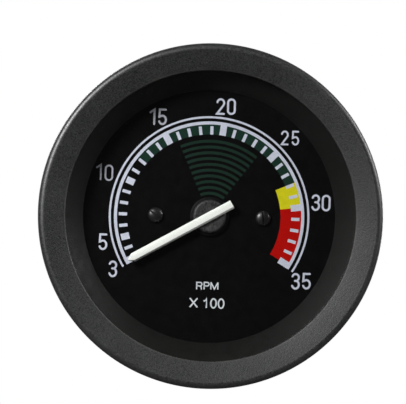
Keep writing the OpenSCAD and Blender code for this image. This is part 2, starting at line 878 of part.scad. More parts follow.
// Bent sheet bracket: two legs that press on the back of the panel, and a base with a ring for the drive
module clamp_bracket() {
    bend_in = bracket_bend_r - bracket_sheet;
    outer_c = [leg_x - bracket_bend_r, bracket_back - bracket_bend_r];
    right_out = arc(outer_c, bracket_bend_r, 90, 0);
    right_in = arc(outer_c, bend_in, 0, 90);
    color([0.72, 0.71, 0.66])
    difference() {
        intersection() {
            translate([0, 0, -bracket_ring_r]) linear_extrude(2 * bracket_ring_r) polygon(concat(
                right_out,
                [[leg_x, foot_front], [leg_x - bracket_sheet, foot_front]],
                right_in,
                [for (i = [arc_steps : -1 : 0]) [-right_in[i].x, right_in[i].y]],
                [[bracket_sheet - leg_x, foot_front], [-leg_x, foot_front]],
                [for (i = [arc_steps : -1 : 0]) [-right_out[i].x, right_out[i].y]]
            ));
            facing(bracket_back + 1, bracket_back + 2) {
                square([2 * bezel_r, leg_w], center = true);
                circle(bracket_ring_r);
            }
        }
        rod(bracket_in - 1, bracket_back + 1, bracket_hole_r);
        ring_of(stud_x, [0, 180]) rod(bracket_in - 1, bracket_back + 1, stud_r + 0.3);
    }
}

// Split washers between the bracket and the nuts
module spring_washers() {
    split = 0.8;
    color([0.55, 0.55, 0.55])
    ring_of(stud_x, [0, 180]) difference() {
        tube(bracket_back, nut_front, lock_r, stud_r + 0.2);
        translate([-split / 2, bracket_back - 1, 0]) cube([split, lock_t + 2, lock_r + 1]);
    }
}

// Knurled nut with a plain neck
module knurled_nut() {
    color([0.78, 0.66, 0.36])
    difference() {
        union() {
            rod(nut_front, nut_front + nut_neck_h, nut_neck_r);
            rod(nut_front + nut_neck_h, nut_back, nut_r);
        }
        for (i = [0 : flutes - 1]) at(nut_r + flute_r / 3, i * 360 / flutes)
            rod(nut_front + nut_neck_h - eps, nut_back + eps, flute_r);
        rod(nut_front - eps, nut_back + eps, stud_r + run);
    }
}

module left_nut() at(stud_x, 180) knurled_nut();

module right_nut() at(stud_x, 0) knurled_nut();

// Sleeve that pushes into the back of the case, with a flange and a closed end
module lamp_holder() {
    color([0.72, 0.72, 0.7])
    at(lamp_at, 90) difference() {
        union() {
            rod(lamp_front, case_depth, lamp_r);
            rod(case_depth, case_depth + lamp_flange_t, lamp_flange_r);
            rod(case_depth + lamp_flange_t, lamp_back, lamp_cap_r);
        }
        rod(lamp_front - eps, lamp_back - lamp_wall_t, lamp_bore_r);
        rod(lamp_back - 1, lamp_back + eps, tab_w / 2 + 0.6);
    }
}

// Insulating disc that carries the lamp's tab
module lamp_insulator() {
    color([0.25, 0.15, 0.08])
    at(lamp_at, 90) difference() {
        rod(insulator_front, insulator_front + insulator_t, lamp_bore_r - seat);
        translate([-tab_w / 2 - seat, insulator_front - eps, -tab_t / 2 - seat])
            cube([tab_w + 2 * seat, insulator_t + 1, tab_t + 2 * seat]);
    }
}

// Push-on tab with a hole for the latch of its connector
module push_tab(y0, y1) {
    difference() {
        translate([-tab_w / 2, y0, -tab_t / 2]) cube([tab_w, y1 - y0, tab_t]);
        translate([0, y1 - tab_len / 2, -tab_t]) cylinder(r = tab_hole_r, h = 2 * tab_t);
    }
}

module lamp_tab() color([0.82, 0.68, 0.35]) at(lamp_at, 90) push_tab(insulator_front, lamp_back + tab_len);

module bulb_cap() {
    color([0.75, 0.7, 0.55])
    at(lamp_at, 90) {
        rod(bulb_cap_front, insulator_front - solder_t, bulb_cap_r);
        rod(insulator_front - solder_t, insulator_front, solder_r);
    }
}

// Glass bulb with a rounded tip
module bulb_glass() {
    color([0.95, 0.93, 0.8, 0.4])
    at(lamp_at, 90) turned() polygon(concat(
        [[0, bulb_cap_front], [bulb_r - 0.4, bulb_cap_front], [bulb_r, bulb_cap_front - 1.5]],
        arc([0, bulb_tip + bulb_r], bulb_r, 0, -90)
    ));
}

// Bent tab riveted to the back of the case
module earth_tab() {
    foot = 8;
    color([0.82, 0.68, 0.35])
    at(earth_at, 270) {
        difference() {
            translate([-tab_w / 2, case_depth, -foot / 2]) cube([tab_w, tab_t, foot]);
            rod(case_depth - 1, case_depth + 2, rivet_r + run);
        }
        translate([0, 0, (foot - tab_t) / 2]) push_tab(case_depth + tab_t / 2, case_depth + tab_t + tab_len);
    }
}

module earth_rivet() {
    color([0.8, 0.8, 0.8])
    at(earth_at, 270) {
        rod(wall_front - rivet_head_h, wall_front, rivet_head_r);
        rod(wall_front, case_depth + tab_t, rivet_r);
        rod(case_depth + tab_t, case_depth + tab_t + rivet_head_h, rivet_head_r);
    }
}

bezel();
glass();
glass_gasket();
shroud_ring();
case_shell();
case_flange();
dial();
scale_print();
dial_screws();
dial_posts();
front_plate();
spindle_bush();
plate_screws();
pillars();
base_casting();
base_screws();
spring_stud();
hairspring();
stop_pins();
field_cup();
front_bush();
rear_bush();
pointer_blade();
pointer_hub();
pointer_spindle();
spring_collet();
stop_arm();
cup_hub();
drag_cup();
drive_shaft();
magnet();
magnet_carrier();
compensator_ring();
pivot_jewel();
thrust_washer();
retaining_ring();
clamp_studs();
clamp_bracket();
spring_washers();
left_nut();
right_nut();
lamp_holder();
lamp_insulator();
lamp_tab();
bulb_cap();
bulb_glass();
earth_tab();
earth_rivet();
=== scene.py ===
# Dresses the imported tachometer: turned forms, printed dial, threads, materials, light and camera.
# Shapes are written in millimetres and become metres when their mesh is made.
import bpy
import bmesh
import math
from mathutils import Matrix, Vector


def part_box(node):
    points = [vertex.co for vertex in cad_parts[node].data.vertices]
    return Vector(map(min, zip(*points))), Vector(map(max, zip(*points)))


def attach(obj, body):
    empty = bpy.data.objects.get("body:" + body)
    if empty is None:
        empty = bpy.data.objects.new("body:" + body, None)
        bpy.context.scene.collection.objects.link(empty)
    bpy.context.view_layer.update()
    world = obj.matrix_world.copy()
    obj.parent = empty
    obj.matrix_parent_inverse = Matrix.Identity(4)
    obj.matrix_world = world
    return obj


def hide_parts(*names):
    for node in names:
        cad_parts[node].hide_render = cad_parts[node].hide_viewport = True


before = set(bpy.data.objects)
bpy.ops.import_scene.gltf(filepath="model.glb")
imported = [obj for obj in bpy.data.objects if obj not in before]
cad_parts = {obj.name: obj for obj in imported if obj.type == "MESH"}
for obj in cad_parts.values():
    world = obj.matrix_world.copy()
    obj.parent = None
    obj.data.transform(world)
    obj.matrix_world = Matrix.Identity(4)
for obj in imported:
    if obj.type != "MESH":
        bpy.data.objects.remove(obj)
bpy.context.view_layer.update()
scene = bpy.context.scene
MM = 0.001

# Sizes, as in the CAD source: R is a radius, Y a depth behind the panel's face, negative in front of it
BEZEL_R, BEZEL_H, EDGE_R, SHEET, OPEN_R, FALL = 43.0, 9.0, 1.4, 0.8, 36.2, 1.4
CASE_R, CASE_DEPTH, CASE_SHEET, CASE_EDGE = 39.75, 38.0, 0.8, 2.5
DIAL_Y, DIAL_VIEW_R = 0.5, 31.65
HUB_BACK, HUB_FRONT, CAP_R = 0.1, -1.3, 4.2
NIPPLE_R, NIPPLE_Y0, NIPPLE_Y1 = 9.0, 39.0, 52.0
LAMP_Z, LAMP_R = 29.5, 6.4
STUD_X, STUD_R, STUD_END = 27.0, 2.0, 59.7
NUT_Y0, NUT_Y1, NUT_R = 48.4, 54.4, 5.5
SCREW_AT, PILLAR_AT, PILLAR_ANGLES = 14.5, 19.5, (30, 150, 270)
FIRST_MARK, LAST_MARK, FIRST_ANGLE, MARK_STEP = 3, 35, 210.0, 7.5


# Node materials
def add_node(tree, kind, **values):
    """A new node in the tree, with its settings."""
    n = tree.nodes.new(kind)
    for k, v in values.items():
        setattr(n, k, v)
    return n


class Look:
    """A Principled material whose patterns are read in millimetres of the row frame."""

    def __init__(self, name, rough, metal=0.0):
        self.mat = bpy.data.materials.new(name)
        self.mat.use_nodes = True
        self.nt = self.mat.node_tree
        self.bsdf = self.nt.nodes["Principled BSDF"]
        self.bsdf.inputs["Metallic"].default_value = metal
        self.bsdf.inputs["Roughness"].default_value = rough
        self.place = self.new("ShaderNodeTexCoord").outputs["Object"]

    def new(self, kind, **values):
        return add_node(self.nt, kind, **values)

    def link(self, a, b):
        self.nt.links.new(a, b)

    def put(self, node, key, value):
        """Links a socket to an input, or sets the input to a value."""
        if isinstance(value, bpy.types.NodeSocket):
            self.link(value, node.inputs[key])
        else:
            node.inputs[key].default_value = value

    def set(self, **values):
        """Puts values or sockets on the shader. Base_Color stands for its input Base Color."""
        for k, v in values.items():
            self.put(self.bsdf, k.replace("_", " "), v)

    def math(self, op, a, b=0.0, clamp=False):
        n = self.new("ShaderNodeMath", operation=op, use_clamp=clamp)
        self.put(n, 0, a)
        self.put(n, 1, b)
        return n.outputs[0]

    def times(self, a, b):
        return self.math("MULTIPLY", a, b)

    def plus(self, a, b):
        return self.math("ADD", a, b)

    def spread(self, stretch=(1, 1, 1)):
        """The place in millimetres, drawn out along the three axes by stretch."""
        n = self.new("ShaderNodeMapping")
        n.inputs["Scale"].default_value = [1000 / s for s in stretch]
        self.link(self.place, n.inputs["Vector"])
        return n.outputs[0]

    def parts(self, vec):
        """The three parts of a vector."""
        n = self.new("ShaderNodeSeparateXYZ")
        self.link(vec, n.inputs[0])
        return n.outputs

    def rings(self, x, z):
        """(distance from the axis through x, z; depth), for the marks that turning leaves."""
        px, py, pz = self.parts(self.spread())
        dx, dz = self.math("SUBTRACT", px, x), self.math("SUBTRACT", pz, z)
        r = self.math("SQRT", self.plus(self.times(dx, dx), self.times(dz, dz)))
        c = self.new("ShaderNodeCombineXYZ")
        self.link(r, c.inputs[0])
        self.link(py, c.inputs[1])
        return c.outputs[0]

    def noise(self, size, detail=2.0, rough=0.5, vec=None, warp=0.0):
        """Noise whose largest grains are about size millimetres."""
        n = self.new("ShaderNodeTexNoise")
        n.inputs["Scale"].default_value = 1 / size
        n.inputs["Detail"].default_value = detail
        n.inputs["Roughness"].default_value = rough
        n.inputs["Distortion"].default_value = warp
        self.link(vec or self.spread(), n.inputs["Vector"])
        return n.outputs["Fac"]

    def fit(self, fac, lo, hi, a=0.3, b=0.7):
        """lo where fac is a or less, hi where it is b or more, even in between."""
        n = self.new("ShaderNodeMapRange")
        for k, v in zip(("Value", "From Min", "From Max", "To Min", "To Max"), (fac, a, b, lo, hi)):
            self.put(n, k, v)
        return n.outputs[0]

    def ramp(self, fac, *stops):
        """Colour by fac. Each stop is (position, colour)."""
        n = self.new("ShaderNodeValToRGB")
        while len(n.color_ramp.elements) < len(stops):
            n.color_ramp.elements.new(0.5)
        for e, (p, c) in zip(n.color_ramp.elements, stops):
            e.position, e.color = p, (*c, 1)
        self.link(fac, n.inputs[0])
        return n.outputs[0]

    def mix(self, fac, a, b):
        """Colour a where fac is 0, b where it is 1."""
        n = self.new("ShaderNodeMix", data_type="RGBA")
        for key, v in ((0, fac), (6, a), (7, b)):
            if isinstance(v, tuple):
                v = (*v, 1)
            self.put(n, key, v)
        return n.outputs[2]

    def bump(self, height, depth, strength=1.0, under=None):
        """depth is the relief of a height of 1, in millimetres."""
        n = self.new("ShaderNodeBump")
        self.put(n, "Strength", strength)
        n.inputs["Distance"].default_value = depth * MM
        self.link(height, n.inputs["Height"])
        if under:
            self.link(under, n.inputs["Normal"])
        self.link(n.outputs[0], self.bsdf.inputs["Normal"])
        return n.outputs[0]


def powder(name, dark, light, rough, depth, level=0.5, rim=None):
    """Powder coat: fine sprayed grain over a slight orange peel. rim holds the radii where the wear of the
    outer edge starts and is full, and where the lip's lighter colour, part bare wear and part painted
    highlight, is full and ends."""
    m = Look(name, rough)
    # Lighter colour at the lip: partly bare wear, partly a painted highlight line.
    bare_and_sheen = (0.055, 0.056, 0.052)
    grain = m.noise(0.42, 3, 0.75)
    fleck = m.noise(0.2, 1, 0.5)
    peel = m.noise(1.1, 2, 0.5)
    patch = m.noise(9, 3, 0.5)
    tone = m.plus(m.times(grain, 0.45), m.times(patch, 0.15))
    tone = m.plus(tone, m.times(fleck, 0.4))
    skin = m.fit(grain, rough - 0.1, rough + 0.12)
    relief = 1.0
    colour = m.ramp(tone, (0.38, dark), (0.62, light))
    if rim:
        r = m.parts(m.rings(0, 0))[0]
        worn, lip = m.fit(r, 0, 1, *rim[:2]), m.fit(r, 1, 0, *rim[2:])
        level = m.plus(level, m.times(worn, 0.35))
        skin = m.math("SUBTRACT", skin, m.times(worn, 0.09))
        relief = m.math("SUBTRACT", 1.0, m.times(worn, 0.6))
        # The lip turns lighter in patches: partly bare wear, partly a painted highlight along the rolled lip.
        colour = m.mix(m.times(lip, m.fit(patch, 0.2, 0.8)), colour, bare_and_sheen)
    m.set(Base_Color=colour, Specular_IOR_Level=level, Roughness=skin)
    m.bump(peel, depth, 0.5, m.bump(grain, depth, relief, m.bump(fleck, depth * 0.8, relief)))
    return m


def crinkled(name, base, foot, foot_r):
    """Pressed cap with a grainy face and short radial creases, on a foot outside foot_r whose dark colour is
    painted shade.
    """
    m = Look(name, 0.55)
    r, place = m.parts(m.rings(0, 0))[0], m.parts(m.spread())
    fan = m.new("ShaderNodeCombineXYZ")
    m.link(m.times(m.math("ARCTAN2", place[2], place[0]), 3.2), fan.inputs[0])
    m.link(m.times(r, 0.3), fan.inputs[1])
    crease, grain = m.noise(0.38, 1, 0.5, fan.outputs[0]), m.noise(0.34, 2, 0.6)
    tone = m.plus(m.times(crease, 0.5), m.times(grain, 0.5))
    dark, light = [tuple(c * k for c in base) for k in (0.25, 1.8)]
    face = m.ramp(tone, (0.41, dark), (0.6, light))
    # The foot's dark colour outside foot_r is painted shade.
    m.set(Base_Color=m.mix(m.fit(r, 0, 1, foot_r - 0.05, foot_r + 0.05), face, foot))
    m.set(Roughness=m.fit(grain, 0.42, 0.6))
    m.set(Specular_IOR_Level=m.fit(r, 0.4, 0.12, foot_r - 0.05, foot_r + 0.15))
    m.bump(crease, 0.08, 1.0, m.bump(grain, 0.05))
    return m


def satin(name, base, rough, depth=0.004, grain=0.12, tone=0.2, dust=None, level=0.5):
    """Smooth paint or moulded plastic, with a faint grain, slight mottling and, if asked, a little dust."""
    m = Look(name, rough)
    dust_spacing = 5.5
    fine, broad = m.noise(grain, 2), m.noise(6, 3)
    lo, hi = [tuple(c * (1 + s * tone) for c in base) for s in (-1, 1)]
    colour = m.mix(m.fit(broad, 0, 1), lo, hi)
    rough_map = m.fit(m.noise(2.2, 3), rough - 0.05, rough + 0.07)
    if dust:
        v = m.new("ShaderNodeTexVoronoi")
        v.inputs["Scale"].default_value = 1 / dust_spacing
        m.link(m.spread(), v.inputs["Vector"])
        sep = m.new("ShaderNodeSeparateColor")
        m.link(v.outputs["Color"], sep.inputs[0])
        size = m.fit(sep.outputs[0], 0.0, 0.03, 0.55, 1.0)
        speck = m.math("LESS_THAN", v.outputs["Distance"], size)
        colour = m.mix(m.times(speck, m.fit(sep.outputs[1], 0.1, 1.0, 0, 1)), colour, dust)
    m.set(Base_Color=colour, Roughness=rough_map, Specular_IOR_Level=level)
    m.bump(fine, depth)
    return m


def turned_metal(name, base, rough, x=0.0, z=0.0, groove=0.05, stain=None):
    """Turned metal: fine tool marks about its own axis, with tarnish in patches."""
    m = Look(name, rough, 1.0)
    marks = m.noise(groove, 3, 0.6, m.rings(x, z))
    patch = m.noise(2.8, 4, 0.6)
    tarnished = tuple(c * 0.75 for c in base)
    m.set(Base_Color=m.mix(m.fit(patch, 0, 1, 0.35, 0.7), base, stain or tarnished))
    m.set(Roughness=m.plus(m.fit(marks, rough - 0.06, rough + 0.08), m.fit(patch, 0, 0.1)))
    m.bump(marks, 0.004)
    return m


def sheet_metal(name, base, rough, along=(1, 1, 1), tint=None):
    """Rolled or pressed sheet with plating: drawn-out scratches, soft mottling and dull spots."""
    m = Look(name, rough, 1.0)
    lines = m.noise(0.16, 4, 0.65, m.spread(along))
    cloud, spot = m.noise(5.5, 4, 0.6, warp=0.6), m.noise(0.9, 3, 0.7)
    dull = tuple(c * 0.62 for c in base)
    colour = m.mix(m.fit(cloud, 0, 1, 0.35, 0.68), base, tint or dull)
    m.set(Base_Color=m.mix(m.fit(spot, 0, 0.25, 0.58, 0.72), colour, dull))
    m.set(Roughness=m.plus(m.fit(lines, rough - 0.07, rough + 0.07), m.fit(cloud, 0, 0.14)))
    m.bump(lines, 0.003, 1.0, m.bump(cloud, 0.02, 0.4))
    return m


def cast_metal(name, base, rough):
    """Die casting: a fine frosted skin with flow marks."""
    m = Look(name, rough, 1.0)
    skin, flow = m.noise(0.22, 3, 0.65), m.noise(3.5, 4, 0.6, warp=1.2)
    dull = tuple(c * 0.7 for c in base)
    m.set(Base_Color=m.mix(m.fit(flow, 0, 1, 0.35, 0.7), base, dull))
    m.set(Roughness=m.fit(skin, rough - 0.08, rough + 0.1))
    m.bump(skin, 0.012, 0.8)
    return m


def printed(name, colour, thin=0.0, rough=0.55, level=0.12):
    """Screen-printed ink: a slightly uneven, faintly grainy coat, thin where asked."""
    m = Look(name, rough)
    screen, wash = m.noise(0.12, 2, 0.6), m.noise(1.6, 3)
    lo = tuple(c * (1 - 0.16 - thin * 0.5) for c in colour)
    even = m.plus(m.times(screen, 0.5), m.times(wash, 0.5))
    m.set(Base_Color=m.mix(m.fit(even, 1, 0, 0.35, 0.62), colour, lo), Specular_IOR_Level=level)
    m.set(Roughness=m.fit(wash, rough - 0.06, rough + 0.08))
    m.bump(screen, 0.003)
    return m


def clear_glass(name, tint):
    """Clear glass that the light of the lamps passes straight through, so that it is counted once."""
    rough, pass_through = 0.004, 0.96
    m = Look(name, rough)
    smear = m.noise(9, 3, 0.6, warp=0.8)
    m.set(Base_Color=(*tint, 1), Transmission_Weight=1.0, IOR=1.5)
    m.set(Roughness=m.fit(smear, rough, rough + 0.012))
    clear = m.new("ShaderNodeBsdfTransparent")
    clear.inputs[0].default_value = (*[pass_through * t for t in tint], 1)
    ray, mix = m.new("ShaderNodeLightPath").outputs, m.new("ShaderNodeMixShader")
    lit = m.math("MAXIMUM", ray["Is Shadow Ray"], ray["Is Diffuse Ray"])
    gloss = m.math("SUBTRACT", ray["Is Glossy Ray"], ray["Is Transmission Ray"], True)
    m.link(m.math("MAXIMUM", lit, gloss), mix.inputs[0])
    m.link(m.bsdf.outputs[0], mix.inputs[1])
    m.link(clear.outputs[0], mix.inputs[2])
    m.link(mix.outputs[0], m.nt.nodes["Material Output"].inputs["Surface"])
    return m


# Mesh tools
def oval(cx, cy, rx, ry, a, b, n=14):
    """n + 1 points of an oval about cx, cy, from angle a to angle b in degrees."""
    return [(cx + rx * math.cos(math.radians(a + (b - a) * i / n)),
             cy + ry * math.sin(math.radians(a + (b - a) * i / n))) for i in range(n + 1)]


def arc(cx, cy, r, a, b, n=10):
    """n + 1 points of a circle about cx, cy, from angle a to angle b in degrees."""
    return oval(cx, cy, r, r, a, b, n)


def polar(r, a):
    """The point at radius r and angle a, in degrees."""
    return (r * math.cos(math.radians(a)), r * math.sin(math.radians(a)))


def soften(pts, radius, n=3):
    """Rounds the corners of a closed outline, except on the axis and where it is nearly straight."""
    out = []
    for i, p in enumerate(pts):
        a, b = Vector(pts[i - 1]) - Vector(p), Vector(pts[(i + 1) % len(pts)]) - Vector(p)
        if p[0] < 1e-6 or a.length < 1e-6 or b.length < 1e-6 or a.angle(b) > math.radians(160):
            out.append(p)
            continue
        d = min(radius, a.length * 0.42, b.length * 0.42)
        s, e, c = Vector(p) + a.normalized() * d, Vector(p) + b.normalized() * d, Vector(p)
        for k in range(n + 1):
            t = k / n
            out.append(tuple(s * (1 - t) ** 2 + c * 2 * t * (1 - t) + e * t * t))
    return out


def turn(profile, n, x=0.0, z=0.0, shape=None, bm=None):
    """Turns a closed outline of (radius, depth) in n steps about the axis through x, z. shape may move a
    radius. The form is added to bm, or to a new bmesh."""
    bm = bmesh.new() if bm is None else bm
    rows = []
    for r, y in profile:
        if r < 1e-6:
            rows.append([bm.verts.new((x * MM, y * MM, z * MM))])
            continue
        ring = []
        for k in range(n):
            t = 2 * math.pi * k / n
            rr = shape(r, y, t) if shape else r
            ring.append(bm.verts.new(((x + rr * math.cos(t)) * MM, y * MM, (z + rr * math.sin(t)) * MM)))
        rows.append(ring)
    for a, b in zip(rows, rows[1:] + rows[:1]):
        for k in range(n):
            j = (k + 1) % n
            if len(a) > 1 and len(b) > 1:
                bm.faces.new((a[k], a[j], b[j], b[k]))
            elif len(a) > 1:
                bm.faces.new((a[k], a[j], b[0]))
            elif len(b) > 1:
                bm.faces.new((a[0], b[j], b[k]))
    return bm


def tube(bm, rings, ends=True):
    """Joins rings of equal length into a tube, with faces at its ends where ends is true."""
    for p, q in zip(rings, rings[1:]):
        for i in range(len(p)):
            j = (i + 1) % len(p)
            bm.faces.new((p[i], p[j], q[j], q[i]))
    if ends:
        bm.faces.new(rings[0])
        bm.faces.new(rings[-1])
    return bm


def box_bm(x0, x1, y0, y1, z0, z1, spin=0.0, about=(0, 0)):
    """A box, turned by spin degrees about the depth axis through about."""
    bm = bmesh.new()
    bmesh.ops.create_cube(bm, size=1)
    for v in bm.verts:
        low = [c < 0 for c in v.co]
        v.co = Vector((x0 if low[0] else x1, y0 if low[1] else y1, z0 if low[2] else z1)) * MM
    c = Vector((about[0], 0, about[1])) * MM
    bmesh.ops.rotate(bm, verts=bm.verts, cent=c, matrix=Matrix.Rotation(math.radians(-spin), 3, "Y"))
    return bm


def rod_bm(r, y0, y1, x=0.0, z=0.0):
    """A rod along the depth axis through x, z."""
    return turn([(0, y0), (r, y0), (r, y1), (0, y1)], 64, x, z)


def to_object(name, bm):
    """A new object in the scene with the bmesh's form."""
    me = bpy.data.meshes.new(name)
    bm.to_mesh(me)
    bm.free()
    ob = bpy.data.objects.new(name, me)
    scene.collection.objects.link(ob)
    return ob


def raw(name, bm):
    """An object with doubled vertices joined and faces turned outwards."""
    bmesh.ops.remove_doubles(bm, verts=bm.verts, dist=2e-7)
    bmesh.ops.recalc_face_normals(bm, faces=bm.faces)
    return to_object(name, bm)


def bake_modifiers(ob):
    """Replaces the object's mesh with the one that its modifiers make."""
    dg = bpy.context.evaluated_depsgraph_get()
    me = bpy.data.meshes.new_from_object(ob.evaluated_get(dg))
    ob.modifiers.clear()
    old, ob.data = ob.data, me
    bpy.data.meshes.remove(old)


def make(name, bm, look, body, stands=None, cuts=(), sharp=32, bevel=0.0):
    """A piece from a bmesh: cuts holes, bevels, shades, and sets its material and body. stands
    names the CAD node that the piece stands for."""
    ob = raw(name, bm)
    tools = [raw("cut_tool", c) for c in cuts]
    for t in tools:
        mod = ob.modifiers.new("cut", "BOOLEAN")
        mod.operation, mod.solver, mod.object = "DIFFERENCE", "EXACT", t
    if bevel:
        mod = ob.modifiers.new("bevel", "BEVEL")
        mod.width, mod.segments = bevel * MM, 2
        mod.limit_method, mod.angle_limit = "ANGLE", math.radians(32)
    if ob.modifiers:
        bake_modifiers(ob)
    for t in tools:
        me = t.data
        bpy.data.objects.remove(t)
        bpy.data.meshes.remove(me)
    ob.data.materials.clear()
    ob.data.materials.append(look.mat)
    ob.data.shade_smooth()
    ob.data.set_sharp_from_angle(angle=math.radians(sharp))
    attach(ob, body)
    if stands:
        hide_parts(stands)


def from_cad(node, name, look, body, bevel, form=None):
    """A copy of a CAD node's form with its flat faces joined and its sharp edges eased. form may shape it."""
    bm = bmesh.new()
    bm.from_mesh(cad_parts[node].data)
    bmesh.ops.remove_doubles(bm, verts=bm.verts, dist=2e-6)
    bmesh.ops.dissolve_limit(bm, angle_limit=math.radians(0.5), verts=bm.verts, edges=bm.edges)
    if form:
        form(bm)
    make(name, bm, look, body, node, bevel=bevel)


def rolled_legs(bm):
    """Rolls the bracket's flat legs to a curve about the axis, so that they stay behind the bezel."""
    start, full, half_width = 38.0, 41.0, 8.05
    every_mm = range(-7, 8)
    for z in every_mm:
        whole = bm.verts[:] + bm.edges[:] + bm.faces[:]
        bmesh.ops.bisect_plane(bm, geom=whole, dist=1e-7, plane_co=(0, 0, z * MM), plane_no=(0, 0, 1))
    for v in bm.verts:
        x, z = abs(v.co.x) / MM, v.co.z / MM
        if x > start and abs(z) < half_width:
            part = min(1.0, (x - start) / (full - start))
            part *= part * (3 - 2 * part)
            v.co.x = math.copysign(x - part * (x - math.sqrt(x * x - z * z)), v.co.x) * MM


def thread(y0, y1, pitch, depth):
    """A right-hand V thread between two depths, for turn()'s shape."""
    steep, crest, run_out = 1.35, 0.12, pitch * 0.8

    def shape(r, y, t):
        if y < y0 or y > y1:
            return r
        f = ((y - y0) / pitch + t / (2 * math.pi)) % 1.0
        cut = min(1.0, max(0.0, abs(2 * f - 1) * steep - crest))
        fade = min(1.0, (y - y0) / run_out, (y1 - y) / run_out)
        return r - depth * cut * fade
    return shape


def rows_between(r, y0, y1, step):
    """Outline points at radius r from depth y0 to y1, about a step apart."""
    n = max(1, round((y1 - y0) / step))
    return [(r, y0 + (y1 - y0) * i / n) for i in range(n + 1)]


# The dial's print
MITRE_LIMIT, CAP_STEPS = 0.35, 8
STRIPE_LIFT, BAND_LIFT, NUMBER_LIFT, MARK_LIFT, ARC_LIFT = 0.01, 0.014, 0.02, 0.024, 0.03


def mark_angle(mark):
    """Angle of a mark of the scale in degrees, counted from the right over the top."""
    return FIRST_ANGLE - (mark - FIRST_MARK) * MARK_STEP


def front(bm, pts, y):
    """Vertices at depth y for points given as they are seen from the front."""
    return [bm.verts.new((x * MM, y * MM, z * MM)) for x, z in pts]


def band(bm, r0, r1, a, b, lift):
    """A printed ring sector, clockwise from angle a down to angle b."""
    n = max(2, round(a - b))
    y = DIAL_Y - lift
    inner, outer = [front(bm, [polar(r, a - (a - b) * i / n) for i in range(n + 1)], y) for r in (r0, r1)]
    for i in range(n):
        bm.faces.new((inner[i], inner[i + 1], outer[i + 1], outer[i]))


def tick(bm, mark, r0, r1, w):
    """A printed mark of the scale, w wide, between two radii."""
    a = mark_angle(mark)
    d, s = Vector(polar(1, a)), Vector(polar(w / 2, a + 90))
    corners = [tuple(d * r + s * k) for r, k in ((r0, -1), (r1, -1), (r1, 1), (r0, 1))]
    bm.faces.new(front(bm, corners, DIAL_Y - MARK_LIFT))


def round_end(bm, centre, way, ends, h, y):
    """Half a disc of radius h between the two vertices that end a line at centre, facing way."""
    a0 = math.atan2(way.y, way.x)
    first = Vector((ends[0].co.x, ends[0].co.z)) / MM - centre
    sign = 1 if first.dot(Vector((-way.y, way.x))) > 0 else -1
    turns = [math.pi / 2 - math.pi * k / CAP_STEPS for k in range(1, CAP_STEPS)]
    rim = [tuple(centre + h * Vector((math.cos(a0 + sign * t), math.sin(a0 + sign * t)))) for t in turns]
    bm.faces.new([ends[0]] + front(bm, rim, y) + [ends[1]])


def stroke(bm, pts, w, lift, closed=False, cap=True):
    """A printed line of width w along pts, with round ends where cap is true."""
    y, h, n = DIAL_Y - lift, w / 2, len(pts)
    p = [Vector(q) for q in pts]
    left, right = [], []
    for i in range(n):
        before = p[i] - p[i - 1] if (i or closed) else p[1] - p[0]
        after = p[(i + 1) % n] - p[i] if (i < n - 1 or closed) else before
        before, after = before.normalized(), after.normalized()
        side = Vector((-before.y, before.x)) + Vector((-after.y, after.x))
        side = side / max(MITRE_LIMIT, side.length_squared) * 2 * h
        left.append(tuple(p[i] + side))
        right.append(tuple(p[i] - side))
    lv, rv = front(bm, left, y), front(bm, right, y)
    for i in range(n if closed else n - 1):
        j = (i + 1) % n
        bm.faces.new((lv[i], lv[j], rv[j], rv[i]))
    if cap and not closed:
        round_end(bm, p[0], p[0] - p[1], (lv[0], rv[0]), h, y)
        round_end(bm, p[-1], p[-1] - p[-2], (lv[-1], rv[-1]), h, y)


def ink(name, bm, look, stands=None):
    """A piece of ink from printed faces, with a thin edge down to the dial."""
    bmesh.ops.remove_doubles(bm, verts=bm.verts, dist=1e-8)
    for f in bm.faces:
        f.normal_update()
        if f.normal.y > 0:
            f.normal_flip()
    rim = [e.link_loops[0] for e in bm.edges if e.is_boundary]
    sides = [(p.vert, p.link_loop_next.vert) for p in rim]
    foot = {v: bm.verts.new((v.co.x, DIAL_Y * MM, v.co.z)) for v in dict.fromkeys(sum(sides, ()))}
    for a, b in sides:
        bm.faces.new((b, a, foot[a], foot[b]))
    ob = to_object(name, bm)
    ob.data.materials.append(look.mat)
    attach(ob, "instrument")
    if stands:
        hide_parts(stands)


def ink_bands(name, look, lift, bands):
    """A piece of ink made of ring sectors: (inner radius, outer radius, from angle, down to angle)."""
    bm = bmesh.new()
    for sector in bands:
        band(bm, *sector, lift)
    ink(name, bm, look)


def digit(ch, w, h):
    """Centre lines of a condensed road-sign numeral in a box of w by h."""
    r = w / 2
    if ch == "0":
        return [(arc(r, h - r, r, 0, 180, 12) + arc(r, r, r, 180, 360, 12), True)]
    if ch == "1":
        return [([(0.02 * w, h - 0.42 * w), (0.6 * w, h), (0.6 * w, 0)], False)]
    if ch == "2":
        return [(oval(r, h * 0.74, r, h * 0.26, 168, -32) + [(0, 0), (w, 0)], False)]
    if ch == "3":
        top, low = h * 0.24, h * 0.275
        upper = oval(r, h - top, r * 0.96, top, 162, -48) + [(w * 0.7, h * 0.53), (w * 0.42, h * 0.53)]
        return [(upper, False), ([(w * 0.6, h * 0.53)] + oval(r, low, r, low, 58, -162), False)]
    low = h * 0.29
    top = [(w * 0.96, h), (0.08 * w, h), (0.04 * w, h * 0.5)]
    return [(top + oval(r, low, r, low, 124, -158, 18), False)]


